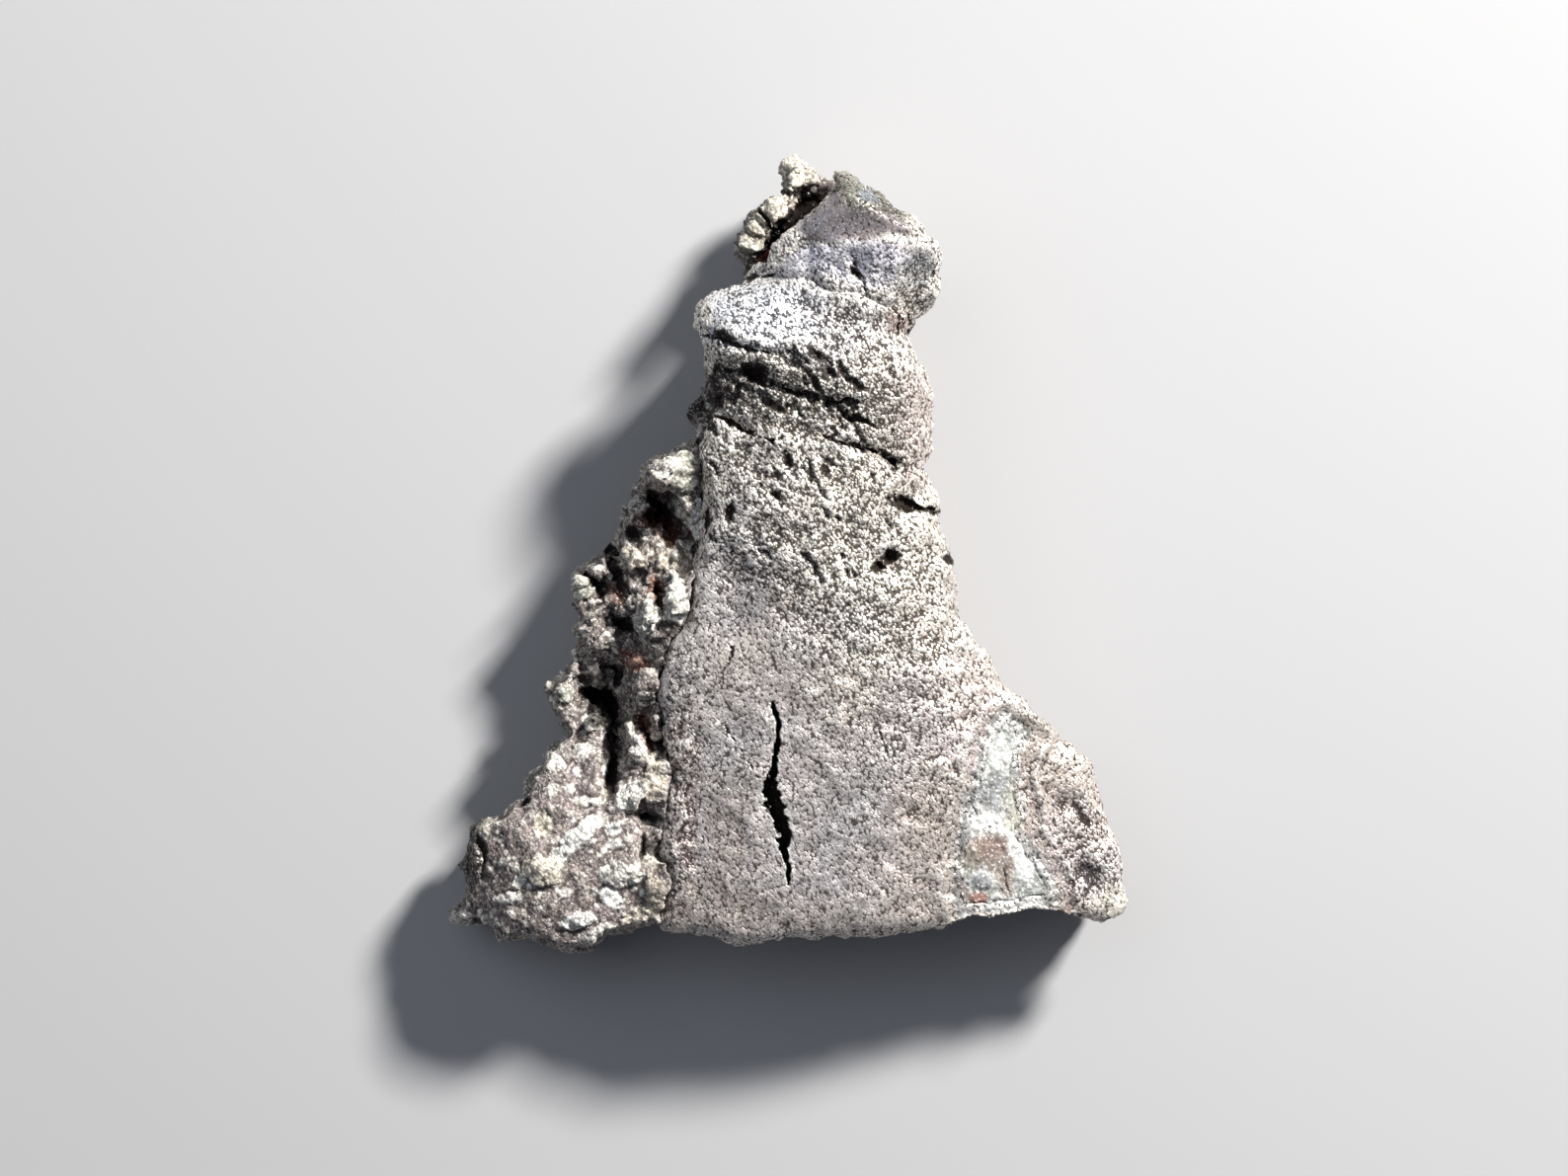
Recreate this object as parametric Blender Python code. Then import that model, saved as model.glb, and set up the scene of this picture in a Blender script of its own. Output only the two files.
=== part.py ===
"""Native silver on its host rock: one hand specimen, 101 mm long, 87 mm wide and 30 mm thick, on its back.

Three pieces: the thick grainy sheet of silver, with a folded shoulder and a curled head; the pebbly rock
that it grew on, which shows along the left side and behind the head; and a calcite vein let into the
silver's right foot. Sizes below are millimetres in the specimen's own frame: +X to the right of the silver's
face, +Y towards its head, +Z out of the face, z = 0 on the surface that the rock's flat back rests on. MM
turns them into metres.
"""

import math
from typing import NamedTuple

import bmesh
import bpy
import numpy as np
from mathutils import Vector, noise
from mathutils.geometry import delaunay_2d_cdt

MM = 0.001

# --- Driving dimensions ---------------------------------------------------------------------------
GAP = 0.35  # clearance between pieces that touch
OVERHANG = 1.3  # the silver's right and lower edges stand out this far past the rock
EDGE_STEP = 1.7  # longest straight stretch along an outline
EDGE_RAGGED = 0.44  # how far an outline strays between its corners
EDGE_WAVE = 1.1  # in bends of about this size
EASE_PER_MM = 3  # an outline is smoothed this often for each mm that it moves in
SILVER_GRID = 1.95  # spacing of the silver's face
ROCK_GRID = 1.35  # spacing of the rock where it shows
CALCITE_GRID = 1.9
ROCK_BACK_GRID = 4.0
HIDDEN_GRID = 5.0  # spacing of faces that another piece hides
GRID_SHIFT = 0.3  # a grid's points are shifted by up to this share of its spacing
CREASE_STEP = 1.5  # spacing of points down a crease
FACET_STEP = 1.6  # round the facet
TROUGH_STEP = 1.3  # round the trough and down the crack
RING_STEP = 1.4  # round the inside of a rim
SEAM_STEP = 1.2  # down the rock beside the silver
CLOSEST = 0.6  # a form's points stay this far from one another
CLOSEST_SHARP = 0.2  # and those of a sharp form this far
SILVER_LIP = 2.4  # the silver's face rolls down over this width at its edge
LIP_DROP = 0.3  # by this share of its thickness
SILVER_LUMP = 3.6  # size of the lumps on the silver
SILVER_UNEVEN = 0.18  # how far they rise and fall
NECK_UNEVEN = 0.42  # and how much further on the neck
NECK = (-8, 4, 27, 33)  # its lumps grow from the first Y to the second and fade from the third to the last
ROCK_LUMP = 2.6  # size of the lumps on the rock
ROCK_UNEVEN = 0.8  # how far they rise and fall
ROCK_EDGE_CALM = 0.35  # at the rock's edge its relief falls to this share
ROCK_EDGE_BAND = 3.0  # over this width
ROCK_UNDER_SLOPE = 7.0  # beside the silver the rock climbs this steeply to meet the bed
WALL_WEAR = 1.1  # the rock's hidden sides are broken back by about this much
WALL_WEAR_SPREAD = 1.4  # and by up to this share of it more or less
WALL_LUMP = 4.2  # in breaks of about this size along the side
WALL_LAYERS = 3  # and this many from its face to its back
WALL_UNEVEN = 1.0  # the rock's ledges rise and fall by about this much
LEDGE_FADE = 8  # how quickly the ledges' unevenness fades towards the face and the back
SHOWN_BAND = 1.2  # the rock's side goes from shown to hidden over this width
WIDEST_BAND = 0.3  # share of its height over which the shown side keeps to its outline
RIM_SHOWN = 1.5  # the rock's rim is smoothed where it stands this far clear of the silver
RIM_PASSES = 2
CREASE_TAPER = 2.6  # a crease shallows over this length at its ends
CALCITE_DEPTH = 2.3  # depth of the trough that the calcite fills
CALCITE_PROUD = 0.1  # the calcite stands this far above the silver around it
CALCITE_LUMP = 3.0  # size of the lumps on the calcite
CALCITE_UNEVEN = 0.2  # how far they rise and fall
TROUGH_MARGIN = 0.6  # the trough's mouth is this much wider than the calcite on each side
TROUGH_WALL = 0.25  # the trough's wall leans by this much
SEAM_MARGIN = 0.55  # the rock stands up this far from the silver's left edge
SEAM_SLOPE = 9.0  # and as steeply as this
SEAM_START = 0.1  # from this far outside the silver's edge
SCOOP_THRESHOLD = 0.8  # the back's scoops start where they would be this deep, which gives them an edge


# The side of a piece from its face to its back: how far each level lies inside the widest outline, and its
# share of the piece's height.
SILVER_SIDE = ((0.8, 1.0), (0.2, 0.82), (0.0, 0.5), (0.4, 0.12), (1.5, 0.0))
ROCK_WIDEST = 0.6
ROCK_SIDE = ((1.0, 1.0), (0.3, 0.86), (0.0, ROCK_WIDEST), (0.5, 0.3), (1.6, 0.08), (3.6, 0.0))
CALCITE_SIDE = ((0.3, 1.0), (0.0, 0.8), (0.3, 0.3), (0.7, 0.0))


class Swell(NamedTuple):
    """A rounded rise in a surface, or a hollow where rise is negative."""

    x: float
    y: float
    long: float
    wide: float
    turn: float
    rise: float


class Crease(NamedTuple):
    """A groove that follows a path."""

    path: tuple
    width: float
    depth: float


# --- Outlines, clockwise from the top of the head -------------------------------------------------
SILVER_HEAD = (
    (5.4, 48.6), (7.0, 48.3), (8.2, 47.6), (9.3, 46.5), (11.8, 45.3), (13.7, 43.4), (15.5, 42.8),
    (16.8, 41.9), (17.5, 40.1), (18.5, 39.7), (19.1, 38.5), (19.4, 35.5), (19.1, 32.8), (18.6, 31.9),
    (16.3, 30.1), (15.1, 28.0),
)
SILVER_RIGHT_EDGE = (
    (15.5, 26.5), (16.3, 24.6), (17.9, 22.2), (18.6, 20.3), (18.0, 17.6), (18.6, 16.5), (18.1, 14.3),
    (17.1, 11.0), (18.5, 8.1), (19.2, 5.4), (18.9, 4.3), (20.5, 0.3), (21.2, -0.2), (21.1, -1.2),
    (21.6, -4.3), (21.2, -6.3), (22.2, -8.4), (23.9, -10.9), (25.5, -11.9), (26.3, -14.8), (28.8, -17.5),
    (32.0, -20.3), (33.9, -21.8), (34.5, -23.3), (36.7, -24.7), (38.5, -25.4), (39.3, -29.5),
    (40.1, -31.4), (40.4, -33.1), (42.0, -36.0), (42.8, -39.5), (42.6, -42.0), (43.6, -44.0),
)
SILVER_FOOT = (
    (42.4, -46.0), (40.6, -46.5), (37.2, -46.3), (34.3, -44.8), (32.7, -45.1), (31.8, -44.5),
    (27.6, -45.5), (25.0, -45.9), (24.1, -45.4), (19.9, -46.8), (17.4, -47.5), (13.0, -48.0),
    (5.5, -48.1), (1.0, -48.4), (-2.8, -49.1), (-6.5, -49.3), (-8.2, -48.8), (-10.5, -48.2),
    (-16.3, -47.6),
)
SILVER_LEFT_EDGE = (
    (-15.9, -44.6), (-14.8, -41.6), (-15.3, -39.6), (-16.5, -38.2), (-16.3, -34.6), (-15.7, -31.5),
    (-15.0, -26.6), (-15.7, -23.6), (-15.9, -19.6), (-16.9, -17.2), (-16.2, -14.6), (-15.4, -12.4),
    (-15.1, -10.4), (-12.7, -8.4), (-12.1, -4.5), (-11.8, 0.0), (-11.1, 3.0), (-10.9, 8.5), (-11.2, 12.5),
    (-10.3, 16.2), (-9.3, 19.0), (-9.7, 22.2), (-10.6, 24.6), (-10.5, 27.4), (-11.7, 28.8), (-11.9, 30.4),
    (-11.3, 31.9), (-9.5, 33.1), (-5.3, 34.4), (-4.7, 36.3), (-3.6, 37.1), (-2.7, 36.4), (-2.4, 38.2),
    (-1.3, 39.5), (0.4, 41.2), (1.9, 42.1), (3.8, 44.2), (5.4, 45.1), (6.3, 46.6),
)
SILVER_OUTLINE = SILVER_HEAD + SILVER_RIGHT_EDGE + SILVER_FOOT + SILVER_LEFT_EDGE

ROCK_LOWER_LEFT = (
    (-17.0, -47.3), (-20.0, -47.9), (-23.4, -48.2), (-24.2, -49.6), (-25.2, -50.4), (-26.3, -49.9),
    (-29.6, -50.1), (-30.9, -49.3), (-34.5, -48.8), (-36.0, -49.5), (-37.0, -49.6), (-37.8, -47.1),
    (-42.5, -46.9), (-43.6, -46.5), (-42.9, -45.2), (-42.0, -44.3), (-41.0, -43.9), (-41.3, -42.0),
    (-41.0, -40.5), (-41.5, -39.0), (-40.8, -36.8), (-40.8, -35.2), (-39.1, -33.4), (-37.0, -32.9),
    (-34.4, -31.1), (-33.0, -28.5), (-32.9, -27.6), (-30.7, -25.0), (-29.6, -23.9), (-27.8, -23.0),
)
ROCK_UPPER_LEFT = (
    (-28.8, -20.8), (-30.2, -19.5), (-30.9, -17.3), (-30.8, -16.4), (-29.2, -15.3), (-27.4, -13.2),
    (-27.7, -11.8), (-27.1, -11.0), (-27.2, -9.0), (-26.6, -8.0), (-27.3, -6.2), (-27.9, -3.2),
    (-27.7, -2.1), (-27.1, -1.5), (-25.5, -1.0), (-22.1, 2.3), (-20.7, 5.0), (-21.0, 6.5), (-19.8, 7.2),
    (-20.0, 8.5), (-18.4, 11.1), (-16.0, 13.1), (-13.4, 13.9), (-12.1, 15.0), (-11.5, 16.2),
    (-13.1, 18.7), (-12.5, 19.7), (-11.2, 20.8),
)
ROCK_UNDER_SHOULDER = ((-10.8, 22.6), (-8.9, 26.5), (-9.2, 30.0), (-7.6, 32.0), (-5.6, 33.6))
ROCK_BEHIND_HEAD = (
    (-5.9, 37.5), (-6.6, 39.4), (-5.5, 41.0), (-5.3, 42.6), (-4.8, 43.6), (-4.0, 43.5), (-2.6, 45.6),
    (-0.8, 45.8), (-0.7, 49.9), (1.4, 50.4), (3.0, 48.9), (4.6, 48.5),
)

CALCITE_RIGHT = (
    (27.4, -19.9), (29.4, -21.5), (30.2, -23.0), (29.2, -25.2), (28.6, -28.3), (29.6, -31.4),
    (29.5, -35.2), (31.3, -38.2), (33.4, -41.2),
)
CALCITE_FOOT = (
    (34.0, -43.6), (32.7, -44.1), (31.5, -43.6), (27.6, -44.6), (25.2, -45.0), (24.0, -44.6),
    (21.4, -45.4),
)
TROUGH_FOOT = ((34.4, -48.0), (21.0, -49.0))  # the trough runs out over the silver's lower edge
CALCITE_LEFT = (
    (20.8, -42.6), (21.5, -38.6), (21.9, -34.6), (22.7, -31.6), (23.4, -27.8), (24.5, -24.2), (25.8, -21.4),
)

# --- Spot heights, as x, y and z ------------------------------------------------------------------
BED_HEIGHTS = (  # where silver meets rock
    (-13, -46, 14.4), (10, -46, 14.8), (40, -44, 11.0), (-13, -10, 15.8), (15, -10, 16.0),
    (29, -21, 13.8), (-9, 20, 16.2), (15, 20, 16.4), (0, 34, 16.6), (16, 36, 17.0), (8, 46, 17.6),
)
SILVER_HEIGHTS = (
    (-15, -46, 19.2), (-8, -47, 20.1), (2, -47, 20.7), (12, -46, 20.7), (22, -44, 19.0), (34, -43, 16.8),
    (42, -44, 14.6), (-15, -30, 19.9), (-8, -32, 21.2), (2, -32, 21.9), (12, -32, 21.9), (22, -32, 20.5),
    (32, -33, 18.0), (39.5, -33, 15.6), (-15, -15, 20.4), (-8, -16, 21.8), (2, -16, 22.8),
    (12, -16, 23.0), (20, -16, 21.9), (25.5, -16, 19.4), (33, -23, 17.2), (-11, -3, 21.5), (-5, -4, 22.5),
    (4, -4, 24.0), (13, -4, 24.1), (20.5, -4, 21.4), (-10, 8, 22.6), (-3, 8, 24.8), (6, 8, 25.4),
    (13, 8, 24.9), (18, 8, 22.2), (-9, 18, 23.0), (-3, 18, 25.2), (6, 18, 25.8), (13, 18, 25.1),
    (17.4, 18, 22.6), (-11, 29, 25.2), (-7, 27, 27.6), (0, 26, 28.2), (8, 25, 27.7), (14.5, 25, 25.0),
    (-9, 32, 25.0), (-4, 32.5, 25.6), (3, 32, 26.2), (9, 31, 26.2), (-4, 34.6, 23.4), (2.5, 34.8, 24.8),
    (9, 33, 25.6), (14.5, 29.5, 24.0), (-1.5, 37.5, 25.4), (4, 37.5, 27.6), (10, 36.5, 28.2),
    (16, 36, 27.2), (19, 35.5, 24.4), (1, 40.5, 26.6), (5, 42.5, 28.3), (10, 42.5, 29.6),
    (15, 40.8, 28.8), (7, 46.8, 27.0), (12.5, 44.2, 28.2),
)
ROCK_HEIGHTS = (
    (-42, -45.5, 10.5), (-40, -36, 13.2), (-35, -46, 16.6), (-34, -36, 17.0), (-26, -48, 17.2),
    (-26, -38, 18.6), (-20, -46, 17.6), (-19, -36, 18.8), (-30, -27, 16.0), (-24, -28, 17.0),
    (-17.5, -27, 18.2), (-29, -17, 13.6), (-22, -16, 13.4), (-17.5, -15, 18.2), (-26, -5, 13.4),
    (-20, -5, 15.8), (-14.5, -6, 19.8), (-20, 4, 14.6), (-13, 4, 17.6), (-18, 10, 17.0),
    (-13.4, 11.5, 19.4), (-12, 18, 9.4), (-9.5, 24, 10.0), (-4.5, 36, 10.2), (1, 41.5, 10.6),
    (4.5, 46, 12.2), (-5.4, 40, 16.0), (-3.6, 43.4, 17.6), (-0.6, 46.5, 18.4), (0.6, 49.6, 18.0),
)

# --- Forms on the surfaces ------------------------------------------------------------------------
SILVER_SWELLS = (
    Swell(-6.4, -5.5, 7.0, 5.0, 80, -0.8),  # worn hollow below the neck
    Swell(16.7, 35.6, 2.9, 2.3, 70, -1.3),  # dimple in the knob at the head's right
    Swell(18.3, 33.0, 2.2, 1.4, 60, 0.8),  # the knob's lip
    Swell(-14.2, -36.0, 12.0, 2.4, 88, 0.9),  # rolled lip down the left edge
    Swell(-4.0, 22.7, 1.7, 1.2, -30, -1.6),  # pits of the neck
    Swell(6.8, 17.8, 2.2, 1.2, -20, -1.5),
    Swell(14.7, 6.5, 1.7, 1.2, -25, -1.5),
    Swell(12.2, -1.0, 2.0, 1.2, 35, -1.4),
    Swell(-7.4, 6.4, 1.3, 0.9, 60, -0.9),
    Swell(38.0, -40.5, 2.4, 1.6, 60, -1.0),
    Swell(36.0, -32.0, 4.0, 1.4, -50, -0.7),
)
SILVER_CREASES = (
    Crease(
        ((-5.0, 34.7), (-1.3, 35.2), (2.4, 34.7), (5.0, 33.3), (9.0, 32.7), (12.2, 31.6), (13.8, 29.8)),
        2.4,
        1.3,
    ),
    Crease(((-10.2, 27.0), (-6.0, 26.4), (-2.4, 25.2), (1.6, 24.2), (4.6, 22.4)), 1.7, 0.9),
    Crease(((-9.6, 22.0), (-5.0, 23.0), (-2.4, 21.8), (1.0, 20.2), (5.0, 19.4), (9.0, 18.9)), 1.7, 1.0),
    Crease(((-9.2, 18.8), (-6.8, 16.4), (-4.0, 15.2)), 1.5, 0.9),
    Crease(((4.8, 15.1), (7.4, 14.1), (10.4, 13.2), (13.2, 11.8), (15.2, 9.8)), 1.6, 1.3),
    Crease(((15.0, 6.4), (17.4, 5.3), (19.0, 5.2)), 1.3, 1.0),
    Crease(((7.9, 38.8), (8.2, 36.6), (9.4, 35.0)), 1.1, 0.6),
)
FACET = (
    (2.2, 40.3), (1.9, 41.7), (5.4, 44.9), (8.0, 45.9), (11.6, 43.6), (15.3, 41.2), (14.6, 40.1), (8.0, 39.7),
)
FACET_HEIGHT = 28.9  # of the smooth facet's middle
FACET_MIDDLE = (8.2, 42.4)
FACET_SLOPE = (0.11, 0.17)  # its rise to the right and to the top
FACET_BLEND = 1.2

CRACK = (  # x, y and width down the open crack
    (-1.7, -18.8, 0.5), (-1.4, -21.2, 0.7), (-1.5, -24.2, 0.9), (-1.6, -26.8, 1.0), (-2.3, -28.4, 1.4),
    (-2.1, -30.4, 2.1), (-1.4, -32.6, 2.3), (-0.7, -34.8, 1.9), (-0.3, -37.2, 1.4), (0.0, -39.4, 0.8),
    (0.2, -40.6, 0.4),
)
CRACK_DEPTH = 4.4
CRACK_LIP = 0.06  # its lips lie this far outside its width
CRACK_END = 0.5  # and its ends this far beyond its line
CRACK_FULL = 0.7  # it is deepest where half its width is this or more

ROCK_LUMPS = (
    Swell(-15.6, 10.8, 4.2, 3.0, 20, 3.4),  # pale block below the neck
    Swell(-17.0, 9.2, 2.6, 1.4, -15, 1.4),
    Swell(-12.9, 5.6, 3.4, 1.2, 80, 1.8),  # pale ledge along the silver
    Swell(-14.2, -5.6, 5.6, 1.9, 86, 1.6),
    Swell(-17.5, -7.8, 3.2, 1.6, 82, 3.0),
    Swell(-26.6, -3.9, 2.6, 1.3, -38, 2.8),
    Swell(-19.6, -1.0, 3.2, 2.6, 10, 1.8),
    Swell(-23.6, -11.5, 3.0, 2.4, 30, 1.6),
    Swell(-29.0, -17.6, 2.6, 2.2, 60, 2.0),
    Swell(-24.2, -15.9, 1.7, 1.4, 0, 2.2),
    Swell(-24.3, -20.9, 2.2, 1.5, 20, 2.4),
    Swell(-18.6, -17.2, 3.4, 1.7, 75, 2.2),
    Swell(-20.3, -21.0, 3.4, 1.2, 80, 2.6),
    Swell(-19.1, -24.0, 2.2, 1.3, 75, 2.4),
    Swell(-16.4, -20.6, 2.4, 1.0, 85, 1.4),
    Swell(-18.8, -29.6, 3.4, 2.4, 60, 1.4),
    Swell(-16.9, -41.4, 3.6, 1.7, 84, 1.3),
    Swell(-31.2, -39.9, 3.2, 2.6, 10, 0.9),  # cobbles of the lower left
    Swell(-26.0, -35.4, 4.0, 2.0, 40, 1.0),
    Swell(-20.4, -39.8, 3.0, 2.6, 0, 0.9),
    Swell(-26.8, -46.0, 3.0, 1.9, 10, 0.8),
    Swell(-29.6, -26.6, 2.2, 1.6, -30, 0.9),
    Swell(-1.3, 44.0, 2.8, 2.1, 60, 3.4),  # pale knobs behind the head
    Swell(-4.3, 42.0, 2.6, 2.0, 70, 2.6),
    Swell(0.8, 48.3, 2.8, 2.4, 60, 3.0),
    Swell(-5.6, 39.3, 2.0, 1.6, 0, 2.4),
    Swell(-12.4, 18.6, 1.5, 1.2, 0, 2.2),
)
ROCK_HOLLOWS = (
    Swell(-15.6, 5.4, 4.4, 2.2, -60, -7.5),  # open hollows beside the silver, from the neck down
    Swell(-17.6, 4.2, 2.4, 1.2, -75, -3.0),
    Swell(-22.2, 0.2, 3.4, 1.5, -62, -3.6),
    Swell(-24.8, -3.4, 3.6, 1.3, -40, -3.0),
    Swell(-21.6, -4.0, 2.6, 1.3, -70, -2.6),
    Swell(-16.4, -4.6, 3.2, 1.1, -85, -3.4),
    Swell(-21.0, -8.9, 3.2, 1.9, -20, -4.2),
    Swell(-22.2, -14.8, 3.6, 1.8, -65, -4.4),
    Swell(-23.2, -18.6, 4.6, 2.6, -30, -7.0),
    Swell(-21.8, -22.4, 3.0, 1.8, -85, -4.6),
    Swell(-18.4, -21.6, 3.2, 1.2, -70, -4.4),
    Swell(-16.3, -24.2, 1.9, 1.2, -60, -3.0),
    Swell(-21.9, -26.6, 4.2, 1.3, 80, -3.8),
    Swell(-17.9, -32.8, 2.4, 1.5, -60, -3.4),
    Swell(-17.9, -37.4, 2.6, 0.9, 85, -2.0),
    Swell(-33.8, -31.2, 1.6, 1.4, 0, -3.0),
)
BACK_SCOOPS = (  # shallow flakes broken out of the flat back
    Swell(-22.0, -18.0, 8.0, 5.0, 35, 2.6),
    Swell(12.0, -28.0, 10.0, 6.0, -20, 2.2),
    Swell(4.0, 6.0, 7.0, 5.0, 60, 2.4),
    Swell(27.0, -36.0, 6.0, 4.0, 15, 1.8),
    Swell(6.0, 34.0, 6.0, 4.0, -35, 2.0),
)


# --- Plane geometry -------------------------------------------------------------------------------
ROW_HEIGHT = 0.866  # of a triangular grid, as a share of its spacing
CLOSEST_IN_GRID = 0.7  # as a share of its spacing
JITTER_FINENESS = 3.1  # neighbouring points of a grid are shifted in unrelated directions
# Each kind of unevenness is cut from the same noise at its own level.
EDGE_SLICE, GRID_SLICE, SILVER_SLICE, ROCK_SLICE, CALCITE_SLICE, LEDGE_SLICE = 4.0, 7.0, 1.5, 9.5, 5.5, 20.0


def segments(loop):
    """Starts and steps of a closed outline's sides."""
    return loop, np.roll(loop, -1, axis=0) - loop


def distance_to_path(points, starts, steps):
    """Each point's distance to the nearest of some straight stretches."""
    offset = points[:, None, :] - starts[None]
    length_squared = np.maximum((steps**2).sum(axis=1), 1e-12)
    along = np.clip((offset * steps[None]).sum(axis=2) / length_squared, 0, 1)
    return np.linalg.norm(offset - along[..., None] * steps[None], axis=2).min(axis=1)


def is_inside(points, loop):
    """Which points a closed outline holds."""
    starts, steps = segments(loop)
    ends = starts + steps
    px, py = points[:, 0, None], points[:, 1, None]
    crosses = (starts[:, 1] > py) != (ends[:, 1] > py)
    rise = np.where(steps[:, 1] == 0, 1e-12, steps[:, 1])
    reach = starts[:, 0] + (py - starts[:, 1]) * steps[:, 0] / rise
    return (crosses & (px < reach)).sum(axis=1) % 2 == 1


def depth_inside(points, loop):
    """Distance to a closed outline, positive inside it and negative outside."""
    distance = distance_to_path(points, *segments(loop))
    return np.where(is_inside(points, loop), distance, -distance)


def thinned(points, spacing, kept=()):
    """The points that keep this spacing from one another and from those already kept."""
    chosen = [np.asarray(p, float) for p in kept]
    start = len(chosen)
    for point in points:
        if not chosen or np.linalg.norm(np.array(chosen) - point, axis=1).min() >= spacing:
            chosen.append(np.asarray(point, float))
    return np.array(chosen[start:]).reshape(-1, 2)


def ragged(corners):
    """A closed outline counterclockwise through its corners, with a little unevenness between them."""
    corners = np.array(corners, float)[::-1]
    outline = []
    for start, side in zip(*segments(corners)):
        pieces = max(1, math.ceil(np.linalg.norm(side) / EDGE_STEP))
        normal = np.array((side[1], -side[0])) / np.linalg.norm(side)
        for k in range(pieces):
            point = start + side * k / pieces
            wobble = EDGE_RAGGED * noise.noise(Vector((*point / EDGE_WAVE, EDGE_SLICE))) if k else 0.0
            outline.append(point + normal * wobble)
    return np.array(outline)


def inward_of(loop):
    """The inward direction at each point of a closed outline."""
    tangent = np.roll(loop, -1, axis=0) - np.roll(loop, 1, axis=0)
    inward = np.stack((-tangent[:, 1], tangent[:, 0]), axis=1)
    return inward / np.maximum(np.linalg.norm(inward, axis=1, keepdims=True), 1e-9)


def ring(loop, depth, spacing):
    """Points at one depth inside an outline, or outside it where depth is negative. They are left out where
    another stretch of the outline comes too near."""
    points = loop + inward_of(loop) * depth
    return thinned(points[depth_inside(points, loop) / depth > 0.8], spacing)


def eased(loop, passes):
    """An outline, or numbers along one, smoothed this many times."""
    for _ in range(passes):
        loop = loop / 2 + (np.roll(loop, 1, axis=0) + np.roll(loop, -1, axis=0)) / 4
    return loop


def self_crossings(loop):
    """Which sides of a closed outline cross another one."""
    starts, steps = segments(loop)
    offset = starts[None] - starts[:, None]
    turns = np.cross(steps[:, None], offset), np.cross(steps[:, None], offset + steps[None])
    apart = np.sign(turns[0]) * np.sign(turns[1]) < 0
    return (apart & apart.T).any(axis=1)


def inset(loop, depth):
    """An outline moved in by depth, smoothed the more it moves, and moved less where it would cross itself."""
    smooth = eased(loop, round(EASE_PER_MM * depth))
    inward = eased(inward_of(smooth), 2 + round(EASE_PER_MM * depth))
    reach = np.full(len(loop), depth)
    while True:
        moved = smooth + inward * reach[:, None]
        crossed = self_crossings(moved)
        if not crossed.any():
            return moved
        near = crossed | np.roll(crossed, 1) | np.roll(crossed, -1) | np.roll(crossed, 2)
        reach[near] *= 0.7


def scattered(loop, spacing, margin, kept, wanted=None):
    """Points on a jittered triangular grid inside an outline, clear of its edge and of the points kept."""
    low, high = loop.min(axis=0), loop.max(axis=0)
    rows = []
    for j in range(int((high[1] - low[1]) / (spacing * ROW_HEIGHT)) + 2):
        for i in range(int((high[0] - low[0]) / spacing) + 2):
            spot = low + np.array((i + (j % 2) / 2, j * ROW_HEIGHT)) * spacing
            jitter = noise.noise_vector(Vector((*spot * JITTER_FINENESS, GRID_SLICE)))
            rows.append(spot + np.array(jitter[:2]) * spacing * GRID_SHIFT)
    points = np.array(rows)
    points = points[depth_inside(points, loop) > margin]
    if wanted is not None:
        points = points[wanted(points)]
    return thinned(points, spacing * CLOSEST_IN_GRID, kept)


def points_along(path, spacing):
    """Points down an open path, its corners included."""
    path = np.array(path, float)
    found = []
    for start, end in zip(path[:-1], path[1:]):
        pieces = max(1, round(np.linalg.norm((end - start)[:2]) / spacing))
        found += [start + (end - start) * k / pieces for k in range(pieces)]
    return np.array([*found, path[-1]])


def beside(path, offset):
    """The points of a path moved to its left by offset, which may be one number for each point."""
    tangent = np.gradient(path[:, :2], axis=0)
    left = np.stack((-tangent[:, 1], tangent[:, 0]), axis=1) / np.linalg.norm(tangent, axis=1, keepdims=True)
    return path[:, :2] + left * np.reshape(offset, (-1, 1))


# --- Surfaces, as functions of points in the XY plane ---------------------------------------------
def surveyed(spots):
    """A smooth surface through spot heights: a thin-plate spline."""
    spots = np.array(spots, float)
    places, count = spots[:, :2], len(spots)

    def bend(a, b):
        squared = ((a[:, None] - b[None]) ** 2).sum(axis=2)
        return squared * np.log(squared + 1e-9)

    flat = np.hstack((np.ones((count, 1)), places))
    system = np.zeros((count + 3, count + 3))
    system[:count, :count] = bend(places, places)
    system[:count, count:], system[count:, :count] = flat, flat.T
    weights = np.linalg.solve(system, np.append(spots[:, 2], (0, 0, 0)))

    def height(points):
        tilt = np.hstack((np.ones((len(points), 1)), points)) @ weights[count:]
        return bend(points, places) @ weights[:count] + tilt

    return height


bed_height = surveyed(BED_HEIGHTS)
silver_sweep = surveyed(SILVER_HEIGHTS)
rock_ground = surveyed(ROCK_HEIGHTS)


def swelling(points, swells):
    """The sum of some swells."""
    total = np.zeros(len(points))
    for s in swells:
        turn = math.radians(s.turn)
        dx, dy = points[:, 0] - s.x, points[:, 1] - s.y
        along = (dx * math.cos(turn) + dy * math.sin(turn)) / s.long
        across = (dy * math.cos(turn) - dx * math.sin(turn)) / s.wide
        total += s.rise * np.clip(1 - along**2 - across**2, 0, 1) ** 1.5
    return total


def creasing(points, creases):
    """How deep some creases cut."""
    total = np.zeros(len(points))
    for crease in creases:
        path = np.array(crease.path)
        distance = distance_to_path(points, path[:-1], np.diff(path, axis=0))
        to_end = np.linalg.norm(points[:, None] - path[[0, -1]][None], axis=2).min(axis=1)
        taper = np.clip(to_end / CREASE_TAPER, 0.2, 1)
        total += crease.depth * taper * np.clip(1 - (2 * distance / crease.width) ** 2, 0, 1)
    return total


def roughness(points, size, level):
    """Smooth noise from -1 to 1, with lumps about this size and two rounds of finer ones on them."""
    return np.array([noise.fractal(Vector((x / size, y / size, level)), 0.8, 2.1, 3) for x, y in points])


def smooth_step(value):
    value = np.clip(value, 0, 1)
    return value * value * (3 - 2 * value)


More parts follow.
